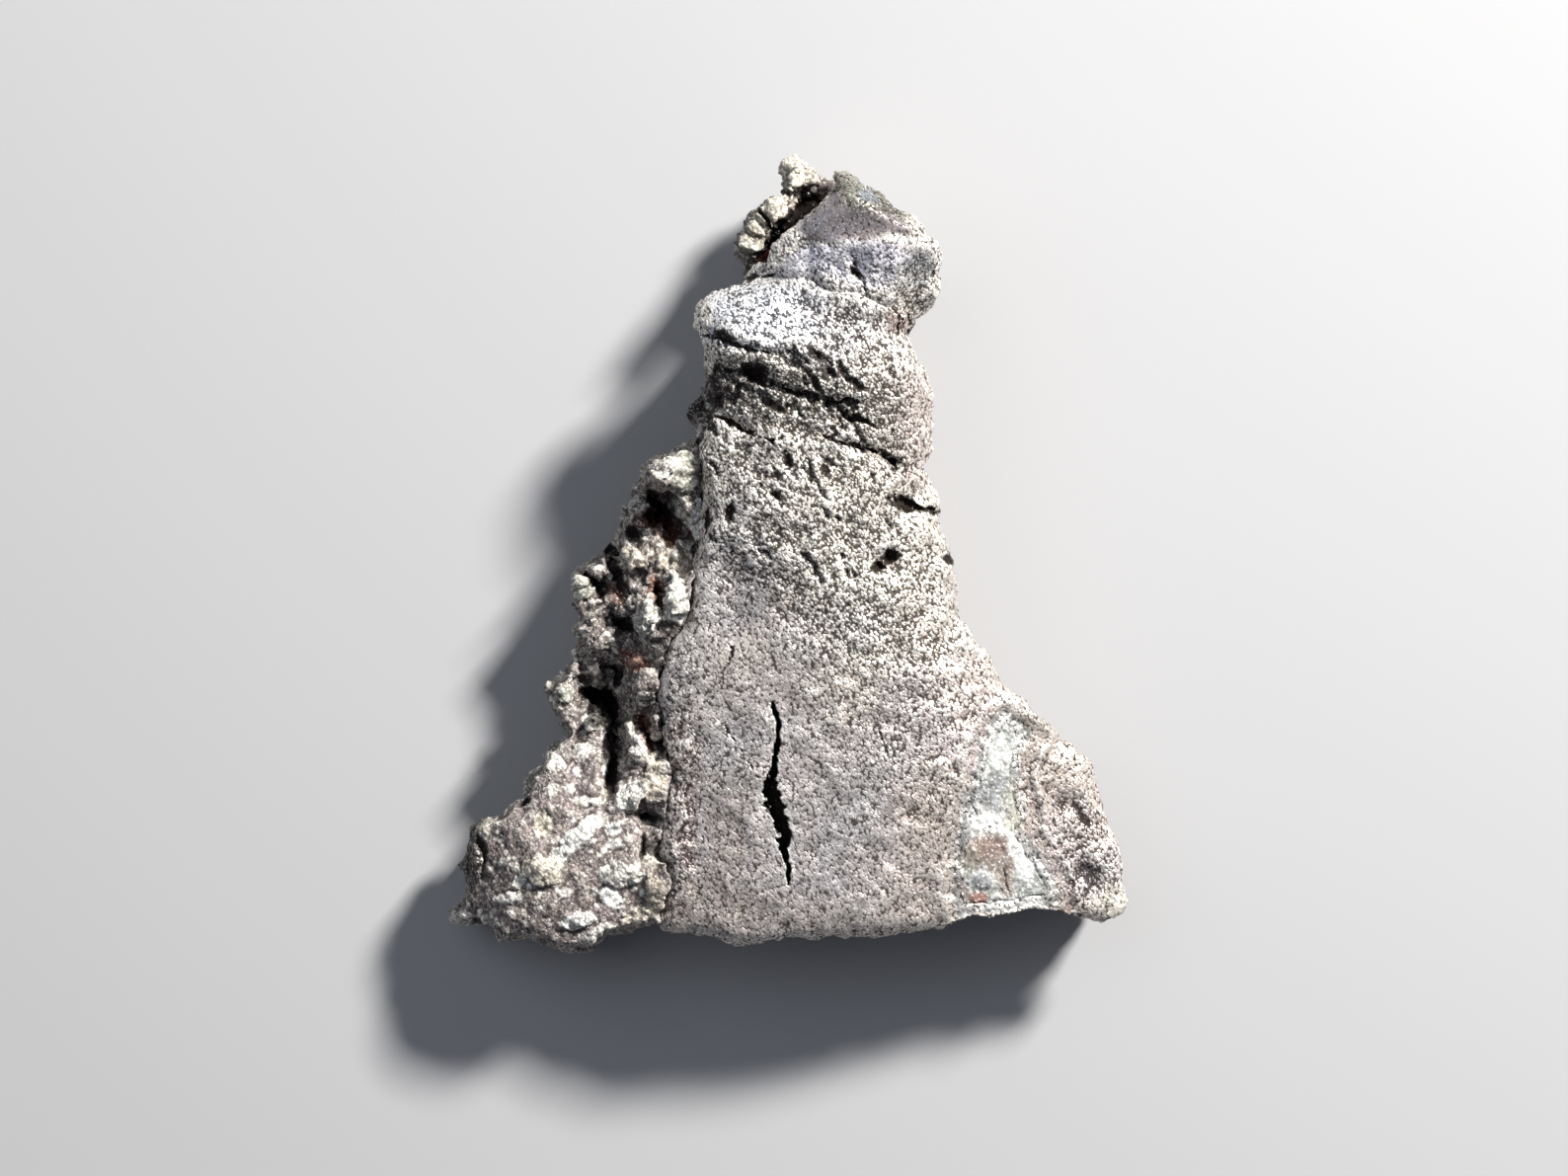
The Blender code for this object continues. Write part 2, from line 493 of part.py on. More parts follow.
def rounded(depth, reach):
    """0 at an outline, rising as a quarter round to 1 at reach."""
    return np.sqrt(1 - (1 - np.clip(depth / reach, 0, 1)) ** 2)


def crack_depth(points):
    """How deep the open crack cuts."""
    line = points_along(CRACK, 0.4)
    distance = np.linalg.norm(points[:, None] - line[None, :, :2], axis=2)
    nearest = distance.argmin(axis=1)
    half = line[nearest, 2] / 2
    share = np.clip(1 - (distance.min(axis=1) / half) ** 2, 0, 1)
    return CRACK_DEPTH * share * np.clip(half / CRACK_FULL, 0.3, 1)


def rock_outline():
    """The rock's visible edge, closed behind the silver at the overhang's distance from the silver's edge."""
    silver = np.array(SILVER_HEAD + SILVER_RIGHT_EDGE + SILVER_FOOT)[::-1]
    whole = np.array(SILVER_OUTLINE)[::-1]
    hidden = beside(silver, OVERHANG)
    hidden = thinned(hidden[depth_inside(hidden, whole) > 0.75 * OVERHANG], 1.6)[::-1]
    return [*map(tuple, hidden), *ROCK_LOWER_LEFT, *ROCK_UPPER_LEFT, *ROCK_UNDER_SHOULDER, *ROCK_BEHIND_HEAD]


ROCK_LOOP = ragged(rock_outline())
SILVER_LOOP = ragged(SILVER_OUTLINE)
CALCITE_LOOP = ragged(CALCITE_RIGHT + CALCITE_FOOT + CALCITE_LEFT)
TROUGH_LOOP = ragged(CALCITE_RIGHT + TROUGH_FOOT + CALCITE_LEFT)


def silver_skin(points):
    """The silver's face before the calcite's trough is sunk in it."""
    height = silver_sweep(points) + swelling(points, SILVER_SWELLS)
    middle, slope = np.array(FACET_MIDDLE), np.array(FACET_SLOPE)
    facet = FACET_HEIGHT + (points - middle) @ slope
    share = smooth_step(depth_inside(points, np.array(FACET)[::-1]) / FACET_BLEND + 0.5)
    height += (facet - height) * share
    foot, throat, shoulder, top = NECK
    neck = smooth_step((points[:, 1] - foot) / (throat - foot))
    neck *= smooth_step((top - points[:, 1]) / (top - shoulder))
    uneven = SILVER_UNEVEN + NECK_UNEVEN * neck
    height += roughness(points, SILVER_LUMP, SILVER_SLICE) * uneven * (1 - share)
    return height - creasing(points, SILVER_CREASES)


def silver_face(points):
    trough = smooth_step((depth_inside(points, TROUGH_LOOP) + TROUGH_MARGIN) / TROUGH_WALL)
    face = silver_skin(points) - crack_depth(points) - CALCITE_DEPTH * trough
    roll = 1 - rounded(depth_inside(points, SILVER_LOOP), SILVER_LIP)
    return face - roll * LIP_DROP * (face - bed_height(points))


def silver_back(points):
    return bed_height(points) + GAP


def rock_face(points):
    """The rock's relief beside the silver, and the bed that the silver lies on."""
    relief = swelling(points, ROCK_LUMPS + ROCK_HOLLOWS)
    relief += roughness(points, ROCK_LUMP, ROCK_SLICE) * ROCK_UNEVEN
    inner = smooth_step(depth_inside(points, ROCK_LOOP) / ROCK_EDGE_BAND)
    relief *= ROCK_EDGE_CALM + (1 - ROCK_EDGE_CALM) * inner
    under = depth_inside(points, SILVER_LOOP)
    seam = bed_height(points) + SEAM_SLOPE * np.maximum(-under - SEAM_START, 0)
    return np.minimum(rock_ground(points) + relief + ROCK_UNDER_SLOPE * np.maximum(under, 0), seam)


def rock_back(points):
    return np.maximum(swelling(points, BACK_SCOOPS) - SCOOP_THRESHOLD, 0)


def calcite_face(points):
    uneven = roughness(points, CALCITE_LUMP, CALCITE_SLICE) * CALCITE_UNEVEN
    return silver_skin(points) + CALCITE_PROUD + uneven


def calcite_back(points):
    return silver_skin(points) - CALCITE_DEPTH + GAP


# --- Solids ---------------------------------------------------------------------------------------
def triangulated(loop, inner, lines=()):
    """Triangles over an outline and the points in it. They keep to some lines, which are pairs of the points'
    numbers. A side that crosses between two rim points gets a point of its own, so that the two faces of a
    solid meet at the rim alone."""
    count = len(loop)
    while True:
        points = np.vstack((loop, inner))
        found = delaunay_2d_cdt([Vector(p) for p in points], list(lines), [list(range(count))], 1, 1e-6)
        source = [ids[0] for ids in found[3]]
        triangles = [[source[i] for i in face] for face in found[2]]
        chords = {
            tuple(sorted((a, b)))
            for face in triangles
            for a, b in zip(face, face[1:] + face[:1])
            if a < count and b < count and (a - b) % count not in (1, count - 1)
        }
        if not chords:
            return points, triangles
        inner = np.vstack((inner, [(points[a] + points[b]) / 2 for a, b in sorted(chords)]))


def capped(mesh, edge, loop, surface, points, lines, turned):
    """Closes one end of a piece with its face or its back."""
    points, triangles = triangulated(loop, points, lines)
    own = points[len(loop) :]
    verts = edge + [mesh.verts.new(Vector(p) * MM) for p in np.column_stack((own, surface(own)))]
    for triangle in triangles:
        corners = [verts[i] for i in triangle]
        mesh.faces.new(corners[::-1] if turned else corners)


def even_wall(loop, share, heights):
    return loop, heights


def even_rim(loop, heights):
    return heights


def solid(name, loop, side, front, back, material, lines=(), wall=even_wall, rim=even_rim):
    """A closed piece: a face, a side of several levels down an outline, and a back. front and back are each a
    surface and a function that gives its points within an outline."""
    mesh = bmesh.new()
    loops = [inset(loop, depth) for depth, _ in side]
    top, bottom = rim(loops[0], front[0](loops[0])), back[0](loops[-1])
    rows = []
    for outline, (_, share) in zip(loops, side):
        heights = bottom + (top - bottom) * share
        if 0 < share < 1:
            outline, heights = wall(outline, share, heights)
        rows.append([mesh.verts.new(Vector(p) * MM) for p in np.column_stack((outline, heights))])
    for upper, lower in zip(rows[:-1], rows[1:]):
        for i in range(len(loop)):
            j = (i + 1) % len(loop)
            mesh.faces.new((upper[i], lower[i], lower[j]))
            mesh.faces.new((upper[i], lower[j], upper[j]))
    capped(mesh, rows[0], loops[0], front[0], front[1](loops[0]), lines, False)
    capped(mesh, rows[-1], loops[-1], back[0], back[1](loops[-1]), (), True)
    data = bpy.data.meshes.new(name)
    mesh.to_mesh(data)
    mesh.free()
    data.materials.append(material)
    data.shade_smooth()
    data.set_sharp_from_angle(angle=math.radians(40))
    piece = bpy.data.objects.new(name, data)
    bpy.context.scene.collection.objects.link(piece)
    return piece


def plain_material(name, colour, roughness_value, metallic):
    material = bpy.data.materials.new(name)
    material.use_nodes = True
    shader = material.node_tree.nodes["Principled BSDF"]
    shader.inputs["Base Color"].default_value = (*colour, 1)
    shader.inputs["Roughness"].default_value = roughness_value
    shader.inputs["Metallic"].default_value = metallic
    return material


def crack_points():
    """The floor and both lips of the open crack, and a point beyond each of its ends."""
    line = points_along(CRACK, TROUGH_STEP)
    lips = [beside(line, side * (line[:, 2] / 2 + CRACK_LIP)) for side in (1, -1)]
    ends = line[[0, -1], :2] + ((0, CRACK_END), (0, -CRACK_END))
    return thinned(np.vstack((line[:, :2], *lips, ends)), CLOSEST_SHARP)


def silver_face_points(loop):
    """The silver's crack, trough, creases and facet edge, a ring inside its rim, and a grid over the rest."""
    folds = []
    for crease in SILVER_CREASES:
        path = points_along(crease.path, CREASE_STEP)
        folds += [path, beside(path, crease.width / 2), beside(path, -crease.width / 2)]
    facet = points_along((*FACET, FACET[0]), FACET_STEP)
    folds += [beside(facet, offset) for offset in (-FACET_BLEND / 2, FACET_BLEND / 2)]
    folds = np.vstack(folds)
    mouth = [ring(TROUGH_LOOP, -out, TROUGH_STEP) for out in (TROUGH_MARGIN, TROUGH_MARGIN - TROUGH_WALL)]
    trough = np.vstack(mouth)
    sharp = crack_points()
    sharp = np.vstack((sharp, thinned(trough[depth_inside(trough, loop) > 0.25], CLOSEST_SHARP, sharp)))
    kept = np.vstack((sharp, thinned(folds[depth_inside(folds, loop) > 0.5], CLOSEST, sharp)))
    kept = np.vstack((kept, thinned(ring(loop, SILVER_LIP / 2, RING_STEP), CLOSEST, kept)))
    return np.vstack((kept, scattered(loop, SILVER_GRID, 0.9 * SILVER_GRID, kept)))


def silver_back_points(loop):
    return scattered(loop, HIDDEN_GRID, 0.4 * HIDDEN_GRID, ())


def build_silver():
    return solid(
        "native_silver",
        SILVER_LOOP,
        SILVER_SIDE,
        (silver_face, silver_face_points),
        (silver_back, silver_back_points),
        plain_material("grey silver", (0.55, 0.53, 0.52), 0.42, 0.8),
    )


def rock_wall(loop, share, heights):
    """One level of the rock's side, broken back in lumps. Its widest level stays where it shows."""
    shows = 1 - smooth_step(depth_inside(loop, SILVER_LOOP) / SHOWN_BAND)
    spots = [Vector((x / WALL_LUMP, y / WALL_LUMP, share * WALL_LAYERS)) for x, y in loop]
    worn = WALL_WEAR * (1 + WALL_WEAR_SPREAD * np.array([noise.noise(spot) for spot in spots]))
    worn *= 1 - shows * (1 - smooth_step(abs(share - ROCK_WIDEST) / WIDEST_BAND))
    wave = np.array([noise.noise(spot + Vector((0, 0, LEDGE_SLICE))) for spot in spots])
    moved = loop + eased(inward_of(loop), EASE_PER_MM) * np.maximum(worn, 0)[:, None]
    return moved, heights + WALL_UNEVEN * wave * min(1, LEDGE_FADE * share * (1 - share))


def rock_rim(loop, heights):
    """The rim of the rock's face, smoothed where it shows."""
    return np.where(depth_inside(loop, SILVER_LOOP) < -RIM_SHOWN, eased(heights, RIM_PASSES), heights)


def rock_seam(loop):
    """The silver's left edge where it crosses the rock, and its sides as pairs of point numbers."""
    shared = depth_inside(SILVER_LOOP, loop) > GAP
    numbers = np.cumsum(shared) - 1 + len(loop)
    joined = np.flatnonzero(shared & np.roll(shared, -1))
    following = np.roll(numbers, -1)
    return SILVER_LOOP[shared], tuple((int(numbers[i]), int(following[i])) for i in joined)


def rock_face_points(loop):
    """The seam, a row beside it, a ring inside the rock's rim, and a grid that is fine where the rock shows."""
    seam, _ = rock_seam(loop)
    wall = ring(SILVER_LOOP, -SEAM_MARGIN, SEAM_STEP)
    kept = wall[depth_inside(wall, loop) > 0.4]
    near = thinned(ring(loop, SHOWN_BAND, RING_STEP), CLOSEST, np.vstack((kept, seam)))
    kept = np.vstack((seam, kept, near))

    def shows(points):
        return depth_inside(points, SILVER_LOOP) < -0.9

    def hidden(points):
        return depth_inside(points, SILVER_LOOP) > 0.5 * HIDDEN_GRID

    kept = np.vstack((kept, scattered(loop, ROCK_GRID, ROCK_GRID, kept, shows)))
    return np.vstack((kept, scattered(loop, HIDDEN_GRID, 0.6 * HIDDEN_GRID, kept, hidden)))


def rock_back_points(loop):
    return scattered(loop, ROCK_BACK_GRID, 0.5 * ROCK_BACK_GRID, ())


def build_rock():
    return solid(
        "host_rock",
        ROCK_LOOP,
        ROCK_SIDE,
        (rock_face, rock_face_points),
        (rock_back, rock_back_points),
        plain_material("pebbly rock", (0.27, 0.24, 0.21), 0.85, 0.0),
        rock_seam(inset(ROCK_LOOP, ROCK_SIDE[0][0]))[1],
        rock_wall,
        rock_rim,
    )


def calcite_points(loop):
    return scattered(loop, CALCITE_GRID, 0.6 * CALCITE_GRID, ())


def build_calcite():
    return solid(
        "calcite_patch",
        CALCITE_LOOP,
        CALCITE_SIDE,
        (calcite_face, calcite_points),
        (calcite_back, calcite_points),
        plain_material("calcite", (0.72, 0.74, 0.68), 0.5, 0.0),
    )


for leftover in list(bpy.data.objects):
    bpy.data.objects.remove(leftover)
build_silver()
build_rock()
build_calcite()
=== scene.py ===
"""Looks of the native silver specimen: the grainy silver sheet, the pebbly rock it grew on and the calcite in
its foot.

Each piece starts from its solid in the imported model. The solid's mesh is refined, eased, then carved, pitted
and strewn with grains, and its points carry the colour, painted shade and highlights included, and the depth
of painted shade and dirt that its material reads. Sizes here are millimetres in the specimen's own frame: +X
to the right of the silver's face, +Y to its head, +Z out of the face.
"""

import itertools
import math
from typing import NamedTuple

import bmesh
import bpy
import numpy as np
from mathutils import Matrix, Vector
from mathutils.bvhtree import BVHTree


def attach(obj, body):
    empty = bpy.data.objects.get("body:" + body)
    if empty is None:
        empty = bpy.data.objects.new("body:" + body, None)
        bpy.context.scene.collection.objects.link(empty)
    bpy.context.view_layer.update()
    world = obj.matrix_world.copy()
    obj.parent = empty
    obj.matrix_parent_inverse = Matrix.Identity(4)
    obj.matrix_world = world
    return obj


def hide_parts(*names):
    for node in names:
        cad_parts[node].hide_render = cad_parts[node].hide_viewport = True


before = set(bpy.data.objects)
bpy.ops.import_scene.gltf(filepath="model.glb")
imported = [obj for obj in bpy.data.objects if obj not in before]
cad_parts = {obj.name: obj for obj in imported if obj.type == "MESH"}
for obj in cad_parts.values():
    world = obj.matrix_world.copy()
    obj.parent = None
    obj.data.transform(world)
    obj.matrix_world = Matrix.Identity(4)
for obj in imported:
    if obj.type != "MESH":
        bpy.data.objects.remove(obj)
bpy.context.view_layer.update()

MM = 0.001
MOST_SPLITS = 5  # rounds of splitting the long sides of a solid's faces
SAME_PLACE = 0.001  # points nearer than this are one
FAR, TINY = 1e9, 1e-9
FINE_SIDE, CRACK_SIDE, FLANK_SIDE = 0.40, 0.2, 0.55  # longest side of a face on tops, in cracks, on flanks
ROCK_SIDE, UNSEEN_SIDE, COVERED_SIDE = 0.74, 1.6, 3.0  # and round the rock, beneath, and under the silver
SILVER_EASING, ROCK_EASING, CALCITE_EASING = 10, 5, 6  # passes that wear the solids' flat faces round
FINE_RELIEF, BROAD_RELIEF = 5, 30  # passes that tell small hollows, and wide ones, from their surroundings


class Spot(NamedTuple):
    """An oval place: its middle, half its length and width, its turn, and how much it does there."""

    x: float
    y: float
    long: float
    wide: float
    turn: float = 0.0
    amount: float = 1.0


class Stain(NamedTuple):
    """An oval of one colour, which fades at its ragged edge."""

    x: float
    y: float
    long: float
    wide: float
    turn: float
    colour: tuple
    amount: float


class Cleft(NamedTuple):
    """A crack or fold along a path of x, y and width."""

    path: tuple
    depth: float
    wall: float = 0.35
    stray: float = 0.3
    broken: float = 1.0


def all_of(kind, rows):
    """One of this kind for each row of its numbers."""
    return tuple(kind(*row) for row in rows)


# --- Fields over points ---
def hashed(cells, salt):
    """A number from 0 to 1 for each whole-numbered cell, scattered by large primes and folded bits."""
    mixed = (cells.astype(np.int64) * (73856093, 19349663, 83492791)).sum(axis=-1) + salt * 40503
    mixed = (mixed ^ (mixed >> 13)) * 1274126177 & 0x7FFFFFFF
    mixed = (mixed ^ (mixed >> 15)) * 668265263 & 0x7FFFFFFF
    return (mixed ^ (mixed >> 12)) % 65536 / 65536


def swell(points, size, salt):
    """Smooth noise from -1 to 1, with lumps about this size."""
    scaled = points / size + salt * 0.37
    cell = np.floor(scaled)
    part = scaled - cell
    part = part * part * (3 - 2 * part)
    total = np.zeros(len(points))
    for corner in itertools.product((0, 1), repeat=3):
        weight = np.prod(np.where(corner, part, 1 - part), axis=1)
        total += weight * hashed(cell + corner, salt)
    return 2 * total - 1


# Turns space from one octave to the next, so that their grids don't line up.
TURNED = np.array(((0.80, 0.36, -0.48), (-0.60, 0.48, -0.64), (0.0, 0.80, 0.60)))


def rough(points, size, salt, octaves=3):
    """Broken noise from -1 to 1: lumps of this size with finer ones on them."""
    total, weight, reach = np.zeros(len(points)), 1.0, 0.0
    for octave in range(octaves):
        total += weight * swell(points, size, salt + octave)
        reach += weight
        points, size, weight = points @ TURNED, size * 0.48, weight * 0.55
    return total / reach * 1.5


def pebbles(points, size, salt):
    """A random packing of pebbles: the distance to the nearest one's middle, two random numbers that each
    pebble keeps, and the height of a flat face that leans its own way across each one."""
    scaled = points / size
    cell = np.floor(scaled)
    nearest = np.full(len(points), 9.0)
    tag, other, lean = np.zeros(len(points)), np.zeros(len(points)), np.zeros(len(points))
    for step in itertools.product((-1, 0, 1), repeat=3):
        spot = cell + step
        middle = spot + np.stack([hashed(spot, salt + k) for k in range(3)], axis=1)
        distance = np.linalg.norm(middle - scaled, axis=1)
        closer = distance < nearest
        tilt = np.stack([hashed(spot, salt + k) for k in (3, 4, 5)], axis=1) - 0.5
        lean = np.where(closer, ((scaled - middle) * tilt).sum(axis=1), lean)
        tag = np.where(closer, hashed(spot, salt + 7), tag)
        other = np.where(closer, hashed(spot, salt + 8), other)
        nearest = np.minimum(nearest, distance)
    return nearest, tag, other, lean


def eased(value):
    """The value held between 0 and 1, with a smooth start and end."""
    value = np.clip(value, 0, 1)
    return value * value * (3 - 2 * value)


def over(points, spot, ragged=0.0, soft=0.5):
    """1 inside an oval, easing to 0 at its edge, which strays by ragged times its radius."""
    turn = math.radians(spot.turn)
    dx, dy = points[:, 0] - spot.x, points[:, 1] - spot.y
    along = (dx * math.cos(turn) + dy * math.sin(turn)) / spot.long
    across = (dy * math.cos(turn) - dx * math.sin(turn)) / spot.wide
    radius = np.sqrt(along**2 + across**2)
    near = radius < 1 + ragged + soft
    if ragged and near.any():
        radius[near] += ragged * rough(points[near], min(spot.long, spot.wide) * 0.9 + 0.3, 31)
    return eased((1 + soft / 2 - radius) / soft)


def beside(points, path):
    """Distance to a path of x, y and width, and the width at the nearest place on it."""
    path = np.array(path, float)
    best, width = np.full(len(points), FAR), np.zeros(len(points))
    for start, end in zip(path[:-1], path[1:]):
        step = end - start
        length = np.hypot(*step[:2])
        share = np.clip(((points[:, :2] - start[:2]) @ step[:2]) / max(length**2, TINY), 0, 1)
        distance = np.linalg.norm(points[:, :2] - start[:2] - share[:, None] * step[:2], axis=1)
        closer = distance < best
        best = np.where(closer, distance, best)
        width = np.where(closer, start[2] + share * step[2], width)
    return best, width


CLEFT_REACH = 2.0  # a cleft changes nothing farther off than this
STRAY_SIZE = 1.3  # size of the bends that a cleft strays by
LIP_SIZE = 0.9  # size of the breaks in its lips and floor


def cut_by(points, cleft):
    """How deep a cleft cuts, from its rough lips down its steep walls."""
    near = beside(points, cleft.path)[0] < CLEFT_REACH
    places = points[near]
    strays = np.stack([rough(places, STRAY_SIZE, salt) for salt in (11, 14, 17)], axis=1)
    distance, width = beside(places + cleft.stray * strays, cleft.path)
    half = width / 2 * (1 + 0.9 * rough(places, LIP_SIZE, 19))
    whole = np.clip(1 - cleft.broken * (0.35 - 1.3 * rough(places, LIP_SIZE, 25)), 0, 1)
    depth = np.zeros(len(points))
    depth[near] = cleft.depth * whole * eased((half - distance) / cleft.wall + 0.5)
    return depth


def inside_loop(points, loop):
    """Distance to a closed outline, positive inside it."""
    loop = np.array(loop, float)
    distance, crossings = np.full(len(points), FAR), np.zeros(len(points), int)
    for start, end in zip(loop, np.roll(loop, -1, axis=0)):
        step = end - start
        share = np.clip(((points[:, :2] - start) @ step) / (step @ step), 0, 1)
        distance = np.minimum(distance, np.linalg.norm(points[:, :2] - start - share[:, None] * step, axis=1))
        spans = (start[1] > points[:, 1]) != (end[1] > points[:, 1])
        rise = step[1] if abs(step[1]) > TINY else TINY
        crossings += spans & (points[:, 0] < start[0] + (points[:, 1] - start[1]) * step[0] / rise)
    return np.where(crossings % 2 == 1, distance, -distance)


# --- Skins ---
def relaxed(values, sides, passes, share=0.6):
    """Values at a mesh's points, each drawn towards the mean of its neighbours."""
    first, second = sides.T
    size = len(values)
    count = np.bincount(sides.ravel(), minlength=size)[:, None]
    for _ in range(passes):
        sums = [np.bincount(first, v[second], size) + np.bincount(second, v[first], size) for v in values.T]
        values = values + share * (np.stack(sums, axis=1) / count - values)
    return values


class Skin:
    """A closed mesh in millimetres that starts from a solid of the model."""

    def __init__(self, node, spacing):
        """spacing gives the longest side allowed at each place, from the middles and normals of the sides."""
        mesh = bmesh.new()
        mesh.from_mesh(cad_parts[node].data)
        bmesh.ops.scale(mesh, vec=(1 / MM, 1 / MM, 1 / MM), verts=mesh.verts)
        bmesh.ops.remove_doubles(mesh, verts=mesh.verts, dist=SAME_PLACE)
        bmesh.ops.triangulate(mesh, faces=mesh.faces)
        for _ in range(MOST_SPLITS):
            mesh.normal_update()
            mesh.verts.index_update()
            points = np.array([v.co[:] for v in mesh.verts])
            normals = np.array([v.normal[:] for v in mesh.verts])
            ends = np.array([(e.verts[0].index, e.verts[1].index) for e in mesh.edges])
            length = np.linalg.norm(points[ends[:, 0]] - points[ends[:, 1]], axis=1)
            long = length > spacing(points[ends].mean(axis=1), normals[ends].mean(axis=1))
            if not long.any():
                break
            chosen = [edge for edge, is_long in zip(mesh.edges, long) if is_long]
            bmesh.ops.subdivide_edges(mesh, edges=chosen, cuts=1)
            bmesh.ops.triangulate(mesh, faces=[face for face in mesh.faces if len(face.verts) > 3])
        mesh.verts.index_update()
        self.points = np.array([v.co[:] for v in mesh.verts])
        self.sides = np.array([(e.verts[0].index, e.verts[1].index) for e in mesh.edges])
        self.faces = np.array([[v.index for v in face.verts] for face in mesh.faces])
        mesh.free()
        self.start = self.points.copy()

    def normals(self):
        """The direction out of the surface at each point."""
        corners = self.points[self.faces]
        across = np.cross(corners[:, 1] - corners[:, 0], corners[:, 2] - corners[:, 0])
        total = np.zeros_like(self.points)
        for corner, axis in itertools.product(range(3), range(3)):
            total[:, axis] += np.bincount(self.faces[:, corner], across[:, axis], len(total))
        return total / np.maximum(np.linalg.norm(total, axis=1, keepdims=True), 1e-12)

    def facing(self):
        """1 where the surface faces up, -1 where it faces down."""
        return self.normals()[:, 2]

    def ease(self, passes):
        self.points = relaxed(self.points, self.sides, passes)

    def raise_by(self, height):
        self.points = self.points + self.normals() * height[:, None]

    def hollow(self, passes):
        """How far each point lies below the surface as it would be without its finest relief."""
        calm = relaxed(self.points, self.sides, passes)
        return ((calm - self.points) * self.normals()).sum(axis=1)

    def piece(self, name, node, slot, material, tone, **fields):
        """The finished piece, which stands for the node. tone holds a colour for each point, and each field a
        number."""
        data = bpy.data.meshes.new(name)
        data.from_pydata((self.points * MM).tolist(), [], self.faces.tolist())
        data.shade_smooth()
        colour = data.attributes.new("tone", "FLOAT_COLOR", "POINT")
        tone = np.column_stack((np.clip(tone, 0, 1), np.ones(len(tone))))
        colour.data.foreach_set("color", tone.astype(np.float32).ravel())
        for field, values in fields.items():
            stored = data.attributes.new(field, "FLOAT", "POINT")
            stored.data.foreach_set("value", values.astype(np.float32))
        data.materials.append(material)
        made = placed(name, data)
        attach(made, "root")
        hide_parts(node)
        return made


def placed(name, data):
    """A new object in the scene."""
    made = bpy.data.objects.new(name, data)
    bpy.context.scene.collection.objects.link(made)
    return made


def blended(tone, colour, share):
    """Colours drawn towards one colour, by a share for each point."""
    return tone + (np.array(colour) - tone) * share[:, None]


def tinted(tone, points, tints):
    """A colour, or each point's colour, with ovals of other colours over it."""
    tone = np.broadcast_to(tone, points.shape)
    for tint in tints:
        tone = blended(tone, tint.colour, tint.amount * over(points, Spot(*tint[:5]), 0.28, 0.7))
    return tone


# --- The silver's forms ---
OPEN_CRACK = Cleft(
    (
        (-1.8, -18.6, 0.1), (-1.7, -19.6, 0.5), (-1.1, -20.9, 0.35), (-1.2, -22.6, 0.3), (-1.45, -25.2, 0.7),
        (-1.65, -27.3, 0.9), (-2.2, -28.6, 1.05), (-2.2, -29.9, 1.4), (-1.5, -31.7, 1.8), (-0.9, -33.7, 1.8),
        (-0.5, -35.7, 1.2), (-0.25, -37.8, 0.9), (0.1, -39.7, 0.4), (0.2, -41.4, 0.1),
    ),
    3.0,
    wall=0.25,
    broken=0.0,
)
SILVER_CLEFTS = (
    Cleft(((-7.8, -21.5, 0.2), (-7.2, -22.6, 0.5), (-6.5, -23.7, 0.3), (-5.5, -25.5, 0.3), (-4.0, -27.2, 0.2),
           (-2.8, -28.4, 0.25)), 0.4, broken=1.6),
    Cleft(((-8.0, -10.0, 0.2), (-7.0, -11.6, 0.45), (-7.2, -13.0, 0.35), (-7.9, -14.4, 0.1)), 0.5,
          broken=1.2),
    Cleft(((11.5, -22.2, 0.1), (12.0, -23.6, 0.3), (12.6, -25.2, 0.1)), 0.35, stray=0.1, broken=1.6),
    Cleft(((-10.8, 27.6, 0.3), (-7.0, 26.8, 0.7), (-5.0, 26.0, 0.5), (-2.2, 25.2, 0.2)), 0.6),
    Cleft(((-9.2, 23.0, 0.4), (-6.5, 23.4, 0.5), (-4.0, 22.8, 0.9), (-2.0, 21.5, 0.6), (2.0, 20.3, 0.5),
           (5.0, 19.5, 0.7), (8.8, 19.3, 0.3)), 0.7),
    Cleft(((-9.0, 17.8, 0.4), (-7.4, 16.9, 0.8), (-5.8, 15.8, 0.5), (-3.4, 14.9, 0.6), (-1.0, 13.9, 0.2)),
          0.7),
    Cleft(((5.6, 18.0, 0.3), (7.2, 17.6, 1.2), (9.0, 17.0, 0.7), (10.8, 16.2, 0.2)), 0.8),
    Cleft(((4.6, 14.9, 0.3), (7.5, 13.9, 0.7), (10.0, 13.3, 0.6), (12.5, 12.5, 0.8), (13.6, 10.8, 0.3)), 0.9),
    Cleft(((13.2, 7.0, 0.5), (14.6, 6.5, 1.4), (16.5, 6.0, 0.6), (19.2, 5.5, 0.8)), 0.9),
    Cleft(((12.9, 31.4, 0.3), (13.6, 29.8, 0.9), (13.9, 28.0, 0.4)), 0.7),
    Cleft(((15.0, 30.2, 0.2), (15.4, 28.3, 0.5)), 0.6),
    Cleft(((7.9, 37.4, 0.2), (8.2, 36.0, 0.7), (9.0, 35.2, 0.6), (10.0, 33.8, 0.2)), 0.6),
    Cleft(((3.2, 35.0, 0.2), (4.1, 33.9, 0.5), (5.0, 32.9, 0.2)), 0.5),
    Cleft(((-5.0, 34.6, 0.7), (-1.5, 35.2, 0.6), (2.0, 34.7, 0.4), (4.5, 33.0, 0.3)), 0.4, broken=1.4),
    Cleft(((18.6, 36.9, 0.2), (18.3, 35.5, 0.5), (17.9, 34.0, 0.3)), 0.5),
)
HEAD_FOLD = ((1.0, 35.0, 2.2), (4.5, 33.6, 2.6), (9.0, 32.7, 2.6), (12.2, 31.6, 2.4), (13.6, 30.4, 1.6))
HEAD_FOLD_FILL = 1.5  # the fold under the head is filled with grains to this height
HEAD_RIM = ((-3.0, 36.6, 1.4), (-1.6, 38.6, 1.4), (0.6, 40.8, 1.3), (3.2, 43.6, 1.0), (5.6, 46.2, 0.9))
HEAD_RIM_RISE = 0.95  # its left edge stands up in a rim of grains
